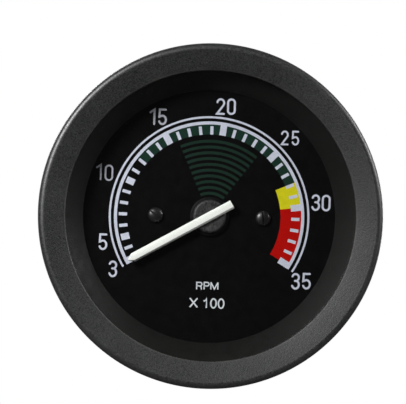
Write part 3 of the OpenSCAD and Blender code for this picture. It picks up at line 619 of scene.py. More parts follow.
def letter(ch, w, h):
    """Centre lines of a plain sans capital or numeral in a box of w by h."""
    if ch in "RP":
        r = h * 0.25
        bowl = [(0, 0), (0, h), (w - r, h)] + arc(w - r, h - r, r, 90, -90, 8)[1:] + [(0, h - 2 * r)]
        leg = [([(w * 0.55, h - 2 * r), (w * 0.86, h * 0.38), (w * 0.93, 0)], False)] if ch == "R" else []
        return [(bowl, False)] + leg
    if ch == "M":
        middle = [(0, h), (w / 2, h * 0.06), (w, h)]
        return [([(0, 0), (0, h)], False), ([(w, h), (w, 0)], False), (middle, False)]
    if ch == "X":
        return [([(0, 0), (w, h)], False), ([(0, h), (w, 0)], False)]
    if ch == "1":
        return [([(w * 0.08, h * 0.74), (w * 0.56, h * 0.82), (w * 0.7, h), (w * 0.7, 0)], False)]
    return [(oval(w / 2, h / 2, w / 2, h / 2, 0, 360, 28)[:-1], True)]


def write(bm, glyphs, cx, cz, w, h, s, cap=True):
    """Places glyph lines, s wide, so that the middle of their box is at cx, cz."""
    line_step = 0.004
    for k, (pts, closed) in enumerate(glyphs):
        moved = [(cx - w / 2 + x, cz - h / 2 + y) for x, y in pts]
        stroke(bm, moved, s, NUMBER_LIFT + line_step * k, closed, cap)


# Looks
coat = powder("bezel_powder", (0.0004, 0.0006, 0.0005), (0.0235, 0.0255, 0.0242), 0.53, 0.05, 0.54,
              (BEZEL_R - 1.9, BEZEL_R - 1.4, OPEN_R + 0.1, OPEN_R + 0.42))
dial_paint = satin("dial_paint", (0.0008, 0.0008, 0.0008), 0.45, 0.002, tone=0.25, dust=(0.05, 0.055, 0.05),
                   level=0.08)
shroud_skin = satin("shroud_skin", (0.0053, 0.0051, 0.0046), 0.55, 0.006, tone=0.15,
                    dust=(0.05, 0.05, 0.05), level=0.2)
white_ink = printed("white_ink", (0.63, 0.66, 0.77), level=0.3)
small_ink = printed("small_ink", (0.66, 0.7, 0.73), level=0.3)
thin_ink = printed("thin_ink", (0.46, 0.47, 0.53), thin=0.2)
green_ink = printed("green_ink", (0.0055, 0.03, 0.0185))
stripe_ink = printed("stripe_ink", (0.0055, 0.024, 0.015), rough=0.6)
yellow_ink = printed("yellow_ink", (0.72, 0.68, 0.012), level=0.06)
red_ink = printed("red_ink", (0.49, 0.0025, 0.0008), level=0.05)
blade_paint = satin("blade_paint", (0.9, 0.93, 0.87), 0.42, 0.003, tone=0.03)
# hub_skin's dark foot colour is painted shade.
hub_skin = crinkled("hub_skin", (0.026, 0.026, 0.0255), (0.0022, 0.0022, 0.0022), CAP_R - 0.05)
screw_black = satin("screw_black", (0.0065, 0.0065, 0.0065), 0.36, 0.002, tone=0.3, level=0.62)
pane = clear_glass("pane", (1, 1, 1))
rubber = satin("rubber", (0.014, 0.014, 0.014), 0.75, 0.01, grain=0.25)
case_plate = sheet_metal("case_plate", (0.43, 0.44, 0.43), 0.36, (6, 1, 6), tint=(0.36, 0.36, 0.335))
casting = cast_metal("casting", (0.55, 0.55, 0.54), 0.44)
bracket_plate = sheet_metal("bracket_plate", (0.4, 0.37, 0.28), 0.42, (9, 9, 1), tint=(0.36, 0.3, 0.19))
fibre = satin("fibre", (0.075, 0.035, 0.016), 0.7, 0.012, grain=0.3, tone=0.4)
tab_brass = sheet_metal("tab_brass", (0.66, 0.48, 0.2), 0.32, (1, 9, 9), tint=(0.5, 0.33, 0.13))
plate_brass = sheet_metal("plate_brass", (0.62, 0.46, 0.2), 0.38, (9, 1, 9), tint=(0.5, 0.36, 0.15))
brass = turned_metal("brass", (0.7, 0.52, 0.22), 0.3)
bronze = turned_metal("bronze", (0.5, 0.31, 0.15), 0.42, groove=0.09)
steel = turned_metal("steel", (0.55, 0.55, 0.56), 0.27)
blued = sheet_metal("blued", (0.12, 0.15, 0.24), 0.3, tint=(0.16, 0.13, 0.16))
bright_alloy = sheet_metal("bright_alloy", (0.78, 0.79, 0.8), 0.28, (1, 9, 1))
sintered = cast_metal("sintered", (0.16, 0.16, 0.17), 0.5)
dull_steel = sheet_metal("dull_steel", (0.34, 0.34, 0.34), 0.42)
bulb_clear = clear_glass("bulb_clear", (0.97, 0.97, 0.95))
jewel = satin("jewel", (0.35, 0.01, 0.04), 0.12, 0.001)

# CAD nodes whose form is right as it is
for look, names in (
    (pane, ["glass"]), (rubber, ["glass_gasket"]), (dial_paint, ["dial"]),
    (brass, ["dial_posts", "spindle_bush", "spring_stud", "spring_collet", "cup_hub", "magnet_carrier"]),
    (plate_brass, ["front_plate"]), (bronze, ["front_bush", "rear_bush", "thrust_washer"]),
    (steel, ["pillars", "stop_pins", "pointer_spindle", "stop_arm", "plate_screws"]),
    (bright_alloy, ["drag_cup"]), (dull_steel, ["field_cup", "compensator_ring"]), (sintered, ["magnet"]),
    (blued, ["hairspring"]), (jewel, ["pivot_jewel"]), (case_plate, ["case_flange"]),
):
    for name in names:
        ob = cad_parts[name]
        ob.data.materials.clear()
        ob.data.materials.append(look.mat)

# Bezel: a sheet pressing with rounded edge, falling front ring and rolled lip
INSET, CURL_GAP, BACK_EDGE_R = 0.002, 0.95, 0.5

# The inset keeps the front within the CAD node's depth
edge_x, edge_y = BEZEL_R - EDGE_R, EDGE_R - BEZEL_H + INSET
tilt = math.atan2(FALL, edge_x - OPEN_R)
out_x, out_y = -math.sin(tilt), -math.cos(tilt)
ring_x, ring_y = edge_x + EDGE_R * out_x, edge_y + EDGE_R * out_y
lip_r = SHEET / 2
ring_w = (ring_x + lip_r * math.sin(tilt) - OPEN_R - lip_r) / math.cos(tilt)
lip_x = ring_x - ring_w * math.cos(tilt) - lip_r * out_x
lip_y = ring_y + ring_w * math.sin(tilt) - lip_r * out_y
slant = -90 - math.degrees(tilt)
curl_r = CASE_R + CURL_GAP
bezel_profile = (
    [(curl_r, -0.1), (curl_r + 0.1, 0)] + arc(BEZEL_R - BACK_EDGE_R, -BACK_EDGE_R, BACK_EDGE_R, 90, 0, 8)
    + arc(edge_x, edge_y, EDGE_R, 0, slant, 30) + arc(lip_x, lip_y, lip_r, slant, slant - 180, 16)
    + arc(edge_x, edge_y, EDGE_R - SHEET, slant, 0, 12) + [(BEZEL_R - SHEET, -SHEET), (curl_r, -SHEET)]
)
make("bezel_pressing", turn(bezel_profile, 256), coat, "instrument", "bezel")

# Shroud ring: rim round the gasket, cone down to the dial, spigot inside the can
CONE_WALL, SPIGOT_WALL, SPIGOT_FIT, GASKET_W = 1.7, 1.4, 0.35, 3
STEP_Y, RIM_Y, SPIGOT_Y = -2.2, -1.6, -0.6
shroud_lo, shroud_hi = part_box("shroud_ring")
shroud_r, shroud_y = shroud_hi.x / MM, shroud_lo.y / MM
gasket_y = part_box("glass_gasket")[1].y / MM
gasket_r = shroud_r - GASKET_W - 0.4
cone_r, cone_y = OPEN_R + 0.3, DIAL_Y - 0.3
slope = (cone_r - DIAL_VIEW_R) / (cone_y - shroud_y)
cone_out = DIAL_VIEW_R + CONE_WALL
spigot = CASE_R - CASE_SHEET - SPIGOT_FIT
shroud_profile = soften([
    (cone_r, shroud_y), (gasket_r, shroud_y), (gasket_r, gasket_y), (shroud_r, gasket_y), (shroud_r, RIM_Y),
    (spigot, RIM_Y), (spigot, SPIGOT_Y), (spigot - SPIGOT_WALL, SPIGOT_Y), (spigot - SPIGOT_WALL, STEP_Y),
    (cone_out + (cone_y - STEP_Y) * slope, STEP_Y), (cone_out, cone_y), (DIAL_VIEW_R, cone_y),
], 0.12)
make("shroud_moulding", turn(shroud_profile, 256), shroud_skin, "instrument", "shroud_ring")

# Scale: a thin and a thick arc, and marks that are wider at every fifth
THIN_ARC, THICK_ARC, ARC_R = (24.745, 25.245), (23.18, 23.955), 24
MARK_R, MARK_END_R, MARK_W, WIDE_W = 20.65, 22.75, 0.78, 1.64
FIRST_JOINED, JOIN = 15, 0.3
START, END = mark_angle(FIRST_MARK), mark_angle(LAST_MARK)
bm = bmesh.new()
over = math.degrees(math.asin(WIDE_W / 2 / ARC_R))
for arc_radii in (THIN_ARC, THICK_ARC):
    band(bm, *arc_radii, START + over, END - over, ARC_LIFT)
for mark in range(FIRST_MARK, LAST_MARK + 1):
    wide = mark == FIRST_MARK or mark % 5 == 0
    joined = mark == FIRST_MARK or (wide and mark >= FIRST_JOINED)
    tick(bm, mark, MARK_R, THICK_ARC[0] + JOIN if joined else MARK_END_R, WIDE_W if wide else MARK_W)
ink("scale_marks", bm, white_ink, stands="scale_print")

# Coloured bands of the speed range, and the fan of stripes
BAND_R, BAND_END_R, GREEN_END_R, LEAD = 17.95, 23.2, 23.15, 1
STRIPES, STRIPE_R, STRIPE_STEP, STRIPE_HALF, FAN = 10, 18.97, 1.454, 0.365, (114, 53)
ink_bands("green_band", green_ink, BAND_LIFT,
          [(MARK_R, GREEN_END_R, mark_angle(12) + LEAD, mark_angle(28) + LEAD)])
stripe_radii = [STRIPE_R - STRIPE_STEP * i for i in range(STRIPES)]
ink_bands("green_stripes", stripe_ink, STRIPE_LIFT,
          [(r - STRIPE_HALF, r + STRIPE_HALF, *FAN) for r in stripe_radii])
ink_bands("yellow_band", yellow_ink, BAND_LIFT, [(BAND_R, BAND_END_R, mark_angle(28) + LEAD, mark_angle(30))])
ink_bands("red_band", red_ink, BAND_LIFT, [(BAND_R, BAND_END_R, mark_angle(30), END)])

# Numerals: each character and its middle, in pixels across and down the photograph's frame
AT_3 = (("3", 113.0, 268.8),)
AT_5 = (("5", 103.2, 241.8),)
AT_10 = (("1", 100.3, 172.2), ("0", 109.1, 173.1))
AT_15 = (("1", 153.7, 117.0), ("5", 162.5, 117.0))
AT_20 = (("2", 220.7, 106.5), ("0", 231.5, 106.6))
AT_25 = (("2", 285.0, 137.7), ("5", 295.7, 137.9))
AT_30 = (("3", 316.0, 202.5), ("0", 326.5, 202.9))
AT_35 = (("3", 295.6, 281.2), ("5", 306.6, 281.1))

# Letters: the same, and the width in millimetres
RPM_LINE = (("R", 199.3, 285.8, 1.3), ("P", 206.6, 285.8, 1.22), ("M", 214.4, 285.8, 1.75))
X100_LINE = (("X", 193.6, 302.5, 1.9), ("1", 205.5, 303.1, 1.2), ("0", 213.5, 303.2, 1.36),
             ("0", 221.1, 303.5, 1.36))

# The dial's centre and scale in that frame, and its small clockwise turn there
DIAL_PX, DIAL_MM_PER_PX, ROLL = (209.28, 216.6), 0.2516, math.radians(1.75)

# Width, height and stroke of a numeral, height and stroke of a letter
NUM, THIN_NUM, SMALL = (1.72, 3.66, 0.51), (1.72, 3.66, 0.43), (1.5, 3.26, 0.45)
RPM_SIZE, X100_SIZE = (1.78, 0.31), (2.28, 0.38)


def on_dial(px, py):
    """The place on the dial, right and up from its axis, of a pixel of the photograph's frame."""
    x, z = (px - DIAL_PX[0]) * DIAL_MM_PER_PX, (DIAL_PX[1] - py) * DIAL_MM_PER_PX
    return x * math.cos(ROLL) - z * math.sin(ROLL), x * math.sin(ROLL) + z * math.cos(ROLL)


bold, thin, small = bmesh.new(), bmesh.new(), bmesh.new()
for target, size, numerals in (
    (bold, NUM, AT_3 + AT_5 + AT_20), (bold, SMALL, AT_25), (bold, NUM, AT_30 + AT_35),
    (thin, THIN_NUM, AT_10), (thin, NUM, AT_15),
):
    for ch, px, py in numerals:
        write(target, digit(ch, *size[:2]), *on_dial(px, py), *size)
for line, (h, s) in ((RPM_LINE, RPM_SIZE), (X100_LINE, X100_SIZE)):
    for ch, px, py, w in line:
        write(small, letter(ch, w, h), *on_dial(px, py), w, h, s, cap=False)
ink("numerals", bold, white_ink)
ink("numerals_thin", thin, thin_ink)
ink("rpm_x100", small, small_ink)

# Dial screws: domed heads with a slot
DIAL_SCREW_X, SHANK_R, SHANK_Y = 13.55, 0.95, 4.9
HEAD_R, HEAD_RIM, DOME_H, RIM_EASE = 1.9, 0.42, 0.88, 0.06
SLOT_HALF, SLOT_Y = 0.25, -0.22
dome = [(HEAD_R * math.sin(math.radians(a)), DIAL_Y - HEAD_RIM - DOME_H * math.cos(math.radians(a)))
        for a in range(8, 89, 8)]
head = [(0, DIAL_Y - HEAD_RIM - DOME_H)] + dome
head += [(HEAD_R, DIAL_Y - HEAD_RIM), (HEAD_R, DIAL_Y - RIM_EASE), (HEAD_R - RIM_EASE, DIAL_Y)]
head += [(SHANK_R, DIAL_Y), (SHANK_R, SHANK_Y), (0, SHANK_Y)]
for i, (x, spin) in enumerate(((-DIAL_SCREW_X, -38), (DIAL_SCREW_X, 95))):
    slot_cut = box_bm(x - 3, x + 3, DIAL_Y - 2, SLOT_Y, -SLOT_HALF, SLOT_HALF, spin, (x, 0))
    make(f"dial_screw_{i}", turn(head, 64, x), screw_black, "instrument", "dial_screws",
         [slot_cut], bevel=0.04)

# Pointer's cap: a grained, slightly dished face with a rounded edge, on a thin foot
FOOT_R, FOOT_Y, CAP_Y, CAP_EDGE = 4.9, -0.28, -0.4, 0.65
DISH, PIT_R, PIT_H = 0.1, 0.62, 0.2
dish_y = HUB_FRONT + DISH
hub_profile = soften([(0, HUB_BACK), (FOOT_R, HUB_BACK), (FOOT_R, FOOT_Y), (CAP_R, CAP_Y)], 0.16, 4)
hub_profile += arc(CAP_R - CAP_EDGE, HUB_FRONT + CAP_EDGE, CAP_EDGE, 0, -94, 12)
hub_profile += [(3.0, HUB_FRONT + 0.05), (2.4, HUB_FRONT + 0.09), (1.8, dish_y), (PIT_R, dish_y)]
hub_profile += [(PIT_R, dish_y + PIT_H), (0, dish_y + PIT_H)]
make("pointer_cap", turn(hub_profile, 96), hub_skin, "pointer", "pointer_hub")

# Pointer's blade
HALF, SHOULDER, RIDGE_HALF, THICKNESS = 1.125, 0.55, 0.67, 1.0
REACH, TAIL, TAPER, TIP_SHARE = 23.1, 6.4, 1.3, 0.27


def blade():
    """A bar with bevelled edges, square at the tail and narrowing to a blunt tip."""
    a = math.radians(mark_angle(FIRST_MARK))
    along, across = Vector((math.cos(a), 0, math.sin(a))), Vector((-math.sin(a), 0, math.cos(a)))
    section = [(HALF, 0), (HALF, SHOULDER), (RIDGE_HALF, THICKNESS),
               (-RIDGE_HALF, THICKNESS), (-HALF, SHOULDER), (-HALF, 0)]
    bm = bmesh.new()
    rings = []
    for d, k in ((-TAIL, 1.0), (REACH - TAPER, 1.0), (REACH, TIP_SHARE)):
        rings.append([bm.verts.new((along * d + across * (u * k) + Vector((0, HUB_FRONT - v, 0))) * MM)
                      for u, v in section])
    return tube(bm, rings)


make("pointer_bar", blade(), blade_paint, "pointer", "pointer_blade", bevel=0.07)

# Case: drawn can with its holes
CASE_FRONT, CASE_BORE_R, THROUGH = -0.8, 10.7, (36, 39)
LAMP_HOLE_R, STUD_HOLE_R, RIVET_HOLE_R, SCREW_HOLE_R = 6.55, 2.05, 1.25, 2.2
case_corner = (CASE_R - CASE_EDGE, CASE_DEPTH - CASE_EDGE)
case_profile = (
    [(CASE_R - CASE_SHEET, CASE_FRONT), (CASE_R - 0.3, CASE_FRONT), (CASE_R, CASE_FRONT + 0.3)]
    + rows_between(CASE_R, 0.5, CASE_DEPTH - CASE_EDGE - 0.5, 6)
    + arc(*case_corner, CASE_EDGE, 0, 90, 14)
    + [(CASE_BORE_R + 0.5, CASE_DEPTH), (CASE_BORE_R, CASE_DEPTH - 0.15)]
    + [(CASE_BORE_R, CASE_DEPTH - CASE_SHEET)] + arc(*case_corner, CASE_EDGE - CASE_SHEET, 90, 0, 8)
)
holes = [rod_bm(LAMP_HOLE_R, *THROUGH, 0, LAMP_Z), rod_bm(STUD_HOLE_R, *THROUGH, STUD_X),
         rod_bm(STUD_HOLE_R, *THROUGH, -STUD_X), rod_bm(RIVET_HOLE_R, *THROUGH, 0, -LAMP_Z)]
holes += [rod_bm(SCREW_HOLE_R, *THROUGH, *polar(SCREW_AT, t)) for t in PILLAR_ANGLES]
make("case_can", turn(case_profile, 256), case_plate, "instrument", "case_shell", holes)

# Base casting: flange, boss in front, collar and threaded nipple behind
SPIGOT_R, SPIGOT_H, BOSS_R, COLLAR_R, EASE = 6.92, 1.7, 8.92, 10.5, 0.15
FLANGE_R, FLANGE_Y0, FLANGE_Y1 = 22.5, 32.2, 37.2
BUSH_R, COLLAR_BUSH_R, BUSH_Y, BORE_R, BORE_Y = 4.52, 5.02, 45.0, 5.25, 46.0
PITCH, THREAD_DEPTH, ROW_STEP = 1.5, 0.85, 0.15
PILLAR_HOLE_R, BASE_SCREW_HOLE_R = 1.62, 2.05
PIT_Y0, PILLAR_PIT_Y1, PIT_Y1 = 31, 36.2, 38
spigot_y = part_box("base_casting")[0].y / MM
cast_profile = (
    [(BUSH_R, spigot_y), (SPIGOT_R, spigot_y), (SPIGOT_R, spigot_y + SPIGOT_H), (BOSS_R, spigot_y + SPIGOT_H)]
    + [(BOSS_R, FLANGE_Y0), (FLANGE_R, FLANGE_Y0), (FLANGE_R, FLANGE_Y1), (COLLAR_R, FLANGE_Y1)]
    + [(COLLAR_R, NIPPLE_Y0 - EASE), (COLLAR_R - EASE, NIPPLE_Y0), (NIPPLE_R, NIPPLE_Y0)]
    + rows_between(NIPPLE_R, NIPPLE_Y0 + 0.3, NIPPLE_Y1 - 1, ROW_STEP)
    + [(NIPPLE_R - 1, NIPPLE_Y1), (BORE_R + 0.2, NIPPLE_Y1), (BORE_R, NIPPLE_Y1 - 0.2), (BORE_R, BORE_Y)]
    + [(COLLAR_BUSH_R, BORE_Y), (COLLAR_BUSH_R, BUSH_Y), (BUSH_R, BUSH_Y)]
)
pits = [rod_bm(PILLAR_HOLE_R, PIT_Y0, PILLAR_PIT_Y1, *polar(PILLAR_AT, t)) for t in PILLAR_ANGLES]
pits += [rod_bm(BASE_SCREW_HOLE_R, FLANGE_Y0 + 1, PIT_Y1, *polar(SCREW_AT, t)) for t in PILLAR_ANGLES]
pits.append(rod_bm(LAMP_R + 1, PIT_Y0, PIT_Y1, 0, LAMP_Z))
nipple_thread = thread(NIPPLE_Y0 + 0.5, NIPPLE_Y1 - 0.8, PITCH, THREAD_DEPTH)
make("base_with_nipple", turn(cast_profile, 128, shape=nipple_thread), casting, "instrument",
     "base_casting", pits)

# Screws at the back
M4_HEAD_R, M4_HEAD_Y, M4_SHANK_R, M4_SHANK_Y = 3.5, 40.2, 2.0, 33.7
M4_SLOT_Y, M4_SLOT_HALF = 39.2, 0.5
head = soften([(0, M4_HEAD_Y), (M4_HEAD_R, M4_HEAD_Y), (M4_HEAD_R, CASE_DEPTH), (M4_SHANK_R, CASE_DEPTH),
               (M4_SHANK_R, M4_SHANK_Y), (0, M4_SHANK_Y)], 0.35, 4)
for i, t in enumerate(PILLAR_ANGLES):
    x, z = polar(SCREW_AT, t)
    zinc = turned_metal(f"screw_zinc_{i}", (0.6, 0.6, 0.57), 0.3, x, z, stain=(0.5, 0.46, 0.36))
    slot_cut = box_bm(x - 5, x + 5, M4_SLOT_Y, 42, z - M4_SLOT_HALF, z + M4_SLOT_HALF, t - 35, (x, z))
    make(f"base_screw_{i}", turn(head, 64, x, z), zinc, "instrument", "base_screws",
         [slot_cut], bevel=0.06)

# Studs, split washers and knurled nuts
STUD_HEAD_R, STUD_HEAD_Y0, STUD_HEAD_Y1, STUD_PITCH, STUD_DEPTH = 4.0, 36.4, 37.2, 0.7, 0.38
WASHER_R0, WASHER_R1, WASHER_Y0, WASHER_Y1 = 2.25, 3.9, 47.58, 48.32
WASHER_RISE, WASHER_GAP, WASHER_STEPS = 0.16, 24, 60
KNURLS, KNURL_DEPTH, KNURL_R = 24, 0.28, 4.9


def split_washer(x):
    """A spring washer about the stud at x, open at the right and rising a little along its turn."""
    bm = bmesh.new()
    section = soften([(WASHER_R0, WASHER_Y0), (WASHER_R1, WASHER_Y0),
                      (WASHER_R1, WASHER_Y1), (WASHER_R0, WASHER_Y1)], 0.1, 2)
    loops = []
    for k in range(WASHER_STEPS + 1):
        t = math.radians(WASHER_GAP / 2 + (360 - WASHER_GAP) * k / WASHER_STEPS)
        rise = WASHER_RISE * (k / WASHER_STEPS - 0.5)
        loops.append([bm.verts.new(((x + r * math.cos(t)) * MM, (y + rise) * MM, r * math.sin(t) * MM))
                      for r, y in section])
    return tube(bm, loops)


def knurl(r, y, t):
    """The knurl of a nut's rim, for turn()'s shape."""
    if r < KNURL_R or y < NUT_Y0 + 1.7 or y > NUT_Y1 - 0.5:
        return r
    return r - KNURL_DEPTH * (0.5 + 0.5 * math.cos(KNURLS * t)) ** 1.5


stud_profile = (
    [(0, STUD_HEAD_Y0), (STUD_HEAD_R, STUD_HEAD_Y0), (STUD_HEAD_R, STUD_HEAD_Y1), (STUD_R, STUD_HEAD_Y1)]
    + rows_between(STUD_R, CASE_DEPTH + 0.2, STUD_END - 0.5, 0.1) + [(STUD_R - 0.5, STUD_END), (0, STUD_END)]
)
nut_profile = (
    [(2.3, NUT_Y0), (4.2, NUT_Y0), (4.4, NUT_Y0 + 0.2), (4.4, NUT_Y0 + 1.45), (4.9, NUT_Y0 + 1.5)]
    + [(5.3, NUT_Y0 + 1.6)] + rows_between(NUT_R, NUT_Y0 + 1.85, NUT_Y1 - 0.55, 0.9)
    + [(5.3, NUT_Y1 - 0.2), (4.9, NUT_Y1), (2.5, NUT_Y1), (2.05, NUT_Y1 - 0.4), (2.05, NUT_Y0 + 0.25)]
)
stud_thread = thread(CASE_DEPTH + 0.4, STUD_END - 0.3, STUD_PITCH, STUD_DEPTH)
for side, x in (("left", -STUD_X), ("right", STUD_X)):
    zinc = turned_metal(f"stud_zinc_{side}", (0.6, 0.59, 0.55), 0.32, x, stain=(0.48, 0.44, 0.34))
    nut_brass = turned_metal(f"nut_brass_{side}", (0.68, 0.5, 0.2), 0.3, x, stain=(0.46, 0.3, 0.12))
    make(f"stud_{side}", turn(stud_profile, 40, x, shape=stud_thread), zinc, "instrument",
         "clamp_studs")
    make(f"lock_washer_{side}", split_washer(x), blued, "bracket", "spring_washers")
    make(f"thumb_nut_{side}", turn(nut_profile, 240, x, shape=knurl), nut_brass, f"{side}_nut",
         f"{side}_nut", sharp=40)

# Sheet and small pieces whose CAD form is right: eased edges
from_cad("clamp_bracket", "bracket_strap", bracket_plate, "bracket", 0.2, rolled_legs)
from_cad("earth_tab", "earth_lug", tab_brass, "instrument", 0.08)
from_cad("lamp_tab", "lamp_lug", tab_brass, "lamp", 0.08)
from_cad("lamp_insulator", "lamp_disc", fibre, "lamp", 0.08)
from_cad("drive_shaft", "drive_spindle", steel, "rotor", 0.08)
from_cad("retaining_ring", "shaft_clip", blued, "rotor", 0.06)

# Earth rivet
RIVET_R, RIVET_HEAD_R, RIVET_FRONT, RIVET_BACK = 1.2, 2.1, 36.3, 39.7
rivet_profile = [(0, RIVET_FRONT), (1.5, RIVET_FRONT + 0.05), (RIVET_HEAD_R, 36.7), (RIVET_HEAD_R, 37.2),
                 (RIVET_R, 37.2), (RIVET_R, 38.8), (RIVET_HEAD_R, 38.8), (RIVET_HEAD_R, 39.0),
                 (1.8, RIVET_BACK - 0.3), (1.1, RIVET_BACK - 0.05), (0, RIVET_BACK)]
rivet_tin = turned_metal("rivet_tin", (0.62, 0.62, 0.6), 0.3, 0, -LAMP_Z)
make("earth_rivet_head", turn(rivet_profile, 48, 0, -LAMP_Z), rivet_tin, "instrument",
     "earth_rivet", sharp=60)

# Lamp holder: a drawn sleeve with a collar behind the case
LAMP_BORE, LAMP_COLLAR_R, LAMP_NECK_R, LAMP_MOUTH_R = 4.75, 7.6, 5.8, 3.75
LAMP_FRONT, COLLAR_BACK, LAMP_BACK = 30, 39.2, 44
lamp_profile = soften([
    (LAMP_BORE, LAMP_FRONT), (LAMP_R, LAMP_FRONT), (LAMP_R, CASE_DEPTH), (LAMP_COLLAR_R, CASE_DEPTH),
    (LAMP_COLLAR_R, COLLAR_BACK), (LAMP_NECK_R, COLLAR_BACK), (LAMP_NECK_R, LAMP_BACK),
    (LAMP_MOUTH_R, LAMP_BACK), (LAMP_MOUTH_R, LAMP_BACK - 0.8), (LAMP_BORE, LAMP_BACK - 0.8),
], 0.22, 4)
drawn = turned_metal("lamp_drawn", (0.6, 0.6, 0.58), 0.33, 0, LAMP_Z, groove=0.12)
make("lamp_sleeve", turn(lamp_profile, 96, 0, LAMP_Z), drawn, "lamp", "lamp_holder")

# Bulb: cap with its contact, glass and filament
SHELL_R, SHELL_NECK_R, CONTACT_R = 4.6, 4.45, 1.5
BULB_R, BULB_WALL, BULB_FOOT = 4.4, 0.5, 1.5
WIRE_R, WIRE_X, WIRE_H = 0.16, 1.4, 4.2
FILAMENT_R, COIL_R, COIL_STEPS = 0.04, 0.12, 60
cap_lo, cap_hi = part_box("bulb_cap")
c0, c1 = cap_lo.y / MM, cap_hi.y / MM
b0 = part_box("bulb_glass")[0].y / MM
cap_profile = soften([
    (0, c0), (SHELL_R, c0), (SHELL_R, c0 + 1), (SHELL_NECK_R, c0 + 1.2), (SHELL_NECK_R, c1 - 1.6),
    (3.6, c1 - 1), (CONTACT_R, c1 - 1), (CONTACT_R - 0.3, c1 - 0.1), (0, c1),
], 0.12)
nickel = turned_metal("bulb_nickel", (0.6, 0.55, 0.42), 0.3, 0, LAMP_Z)
make("bulb_base", turn(cap_profile, 64, 0, LAMP_Z), nickel, "lamp", "bulb_cap")
bulb_out = [(0, b0)] + arc(0, b0 + BULB_R, BULB_R, -82, 0, 14)
bulb_out += [(BULB_R, c0 - BULB_FOOT), (4.0, c0), (3.4, c0)]
bulb_in = [(BULB_R - BULB_WALL, c0 - BULB_FOOT + 0.1)] + arc(0, b0 + BULB_R, BULB_R - BULB_WALL, 0, -82, 14)
bulb_in += [(0, b0 + BULB_WALL)]
make("bulb_envelope", turn(bulb_out + bulb_in, 64, 0, LAMP_Z), bulb_clear, "lamp", "bulb_glass",
     sharp=70)


def filament():
    """Two wires that stand on the bulb's cap, and the fine coil between their ends."""
    bm = bmesh.new()
    wire = [(0, c0), (WIRE_R, c0), (WIRE_R, c0 - WIRE_H), (0, c0 - WIRE_H)]
    for side in (-1, 1):
        turn(wire, 10, side * WIRE_X, LAMP_Z, bm=bm)
    path = []
    for k in range(COIL_STEPS + 1):
        t = k * 2.1
        path.append(Vector((-WIRE_X + 2 * WIRE_X * k / COIL_STEPS, c0 - WIRE_H + 0.1 + COIL_R * math.sin(t),
                            LAMP_Z + COIL_R * math.cos(t))))
    for p, q in zip(path, path[1:]):
        d = (q - p).normalized()
        u = d.orthogonal().normalized()
        v = d.cross(u)
        rings = [[bm.verts.new((c + (u * math.cos(s) + v * math.sin(s)) * FILAMENT_R) * MM)
                  for s in (0, 2.1, 4.2)] for c in (p, q)]
        tube(bm, rings, False)
    return bm


make("bulb_filament", filament(), steel, "lamp")

# Floor: pale to the camera and dim to other rays, so that it throws little light up
FLOOR_X, FLOOR_Y, FLOOR_SHIFT, FLOOR_Z = 0.3, 0.18, 0.06, -0.088
floor_bm = bmesh.new()
bmesh.ops.create_grid(floor_bm, x_segments=1, y_segments=1, size=1)
for v in floor_bm.verts:
    v.co = Vector((v.co.x * FLOOR_X, v.co.y * FLOOR_Y + FLOOR_SHIFT, FLOOR_Z))
floor = raw("floor", floor_bm)
floor_look = Look("floor_card", 0.9)
card = floor_look.ramp(floor_look.noise(30, 3), (0.3, (0.72, 0.72, 0.72)), (0.7, (0.76, 0.76, 0.76)))
seen = floor_look.new("ShaderNodeLightPath").outputs["Is Camera Ray"]
floor_look.set(Base_Color=floor_look.mix(seen, (0.1, 0.1, 0.1), card))
floor.data.materials.append(floor_look.mat)

# Surroundings
world = bpy.data.worlds.new("studio")
scene.world = world
world.use_nodes = True
sky = world.node_tree
sky.nodes.clear()


def by_depth(depth, y0, y1, low, high):
    """Strength of the surroundings by the direction's depth part: low in front, high behind."""
    n = add_node(sky, "ShaderNodeMapRange")
    for key, v in (("From Min", y0), ("From Max", y1), ("To Min", low), ("To Max", high)):
        n.inputs[key].default_value = v
    sky.links.new(depth, n.inputs["Value"])
    return n.outputs[0]


def either(flag, low, high):
    """high where the ray is of the flag's kind, otherwise low."""
    n = add_node(sky, "ShaderNodeMix", data_type="FLOAT")
    sky.links.new(flag, n.inputs[0])
    for key, v in ((2, low), (3, high)):
        if isinstance(v, float):
            n.inputs[key].default_value = v
        else:
            sky.links.new(v, n.inputs[key])
    return n.outputs[0]


# The camera sees white. Glass and metal see white behind the object and a dim room in front of it.
ROOM, AHEAD, BEHIND, WHITE = 0.05, 0.022, 0.75, 1.0
direction = add_node(sky, "ShaderNodeSeparateXYZ")
sky.links.new(add_node(sky, "ShaderNodeTexCoord").outputs["Generated"], direction.inputs[0])
depth_part = direction.outputs[1]
rays = add_node(sky, "ShaderNodeLightPath").outputs
level = either(rays["Is Glossy Ray"], ROOM, by_depth(depth_part, 0.2, 0.95, AHEAD, BEHIND))
level = either(rays["Is Transmission Ray"], level, by_depth(depth_part, 0.0, 0.7, ROOM, WHITE))
level = either(rays["Is Camera Ray"], level, WHITE)
studio = add_node(sky, "ShaderNodeBackground")
studio.inputs["Color"].default_value = (1, 1, 1, 1)
sky.links.new(level, studio.inputs["Strength"])
sky.links.new(studio.outputs[0], add_node(sky, "ShaderNodeOutputWorld").inputs["Surface"])


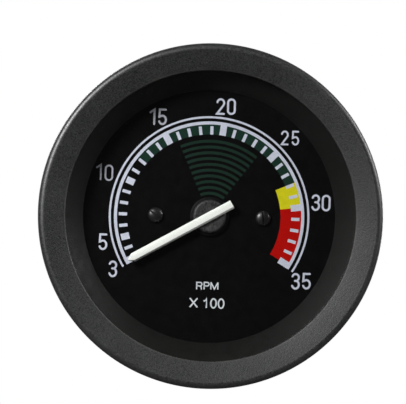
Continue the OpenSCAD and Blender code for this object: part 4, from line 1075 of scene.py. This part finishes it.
def area(name, place, aim, size, power):
    """A soft round lamp at place, facing aim, size metres across, with power in watts."""
    data = bpy.data.lights.new(name, "AREA")
    data.shape, data.size, data.energy = "DISK", size, power
    ob = bpy.data.objects.new(name, data)
    scene.collection.objects.link(ob)
    ob.location = place
    ob.rotation_euler = (Vector(aim) - Vector(place)).to_track_quat("-Z", "Y").to_euler()


# Lamps: two in front, two behind
DIAL_POINT, CASE_POINT = (0, 0, 0), (0, 0.02, 0)
area("key", (-0.402, -0.464, 0.292), DIAL_POINT, 0.2, 5.9)
area("side", (1.1, -0.28, 0.52), DIAL_POINT, 0.5, 10.0)
area("back_left", (-0.5, 1.2, 0.55), CASE_POINT, 0.6, 7)
area("back_right", (0.55, 1.1, 0.2), CASE_POINT, 0.6, 4.6)

# Camera: BEZEL_PX is the middle of the bezel's front in the photograph's frame, in pixels
AZ, EL, DIST, PIX = math.radians(-3.4), math.radians(-1.7), 0.7, 0.24873 * MM
IMAGE_W, IMAGE_H, BEZEL_PX = 406, 404, (211.36, 215.56)
SENSOR, FRONT_RING_Y = 36, -7.2
centre = Vector((0, FRONT_RING_Y * MM, 0))
back = Vector((math.sin(AZ) * math.cos(EL), -math.cos(AZ) * math.cos(EL), math.sin(EL)))
level_view = (-back).to_track_quat("-Z", "Y")
right, up = level_view @ Vector((1, 0, 0)), level_view @ Vector((0, 1, 0))
aim = centre - right * ((BEZEL_PX[0] - IMAGE_W / 2) * PIX) + up * ((BEZEL_PX[1] - IMAGE_H / 2) * PIX)
data = bpy.data.cameras.new("camera")
cam = bpy.data.objects.new("camera", data)
scene.collection.objects.link(cam)
scene.camera = cam
cam.location = centre + back * DIST
cam.rotation_mode = "QUATERNION"
view = (aim - cam.location).to_track_quat("-Z", "Y")
cam.rotation_quaternion = view @ Matrix.Rotation(ROLL, 3, "Z").to_quaternion()
data.sensor_width = SENSOR
data.lens = SENSOR * DIST / (PIX * IMAGE_W)
data.clip_start, data.clip_end = 0.01, 20

scene.view_settings.view_transform = "Standard"
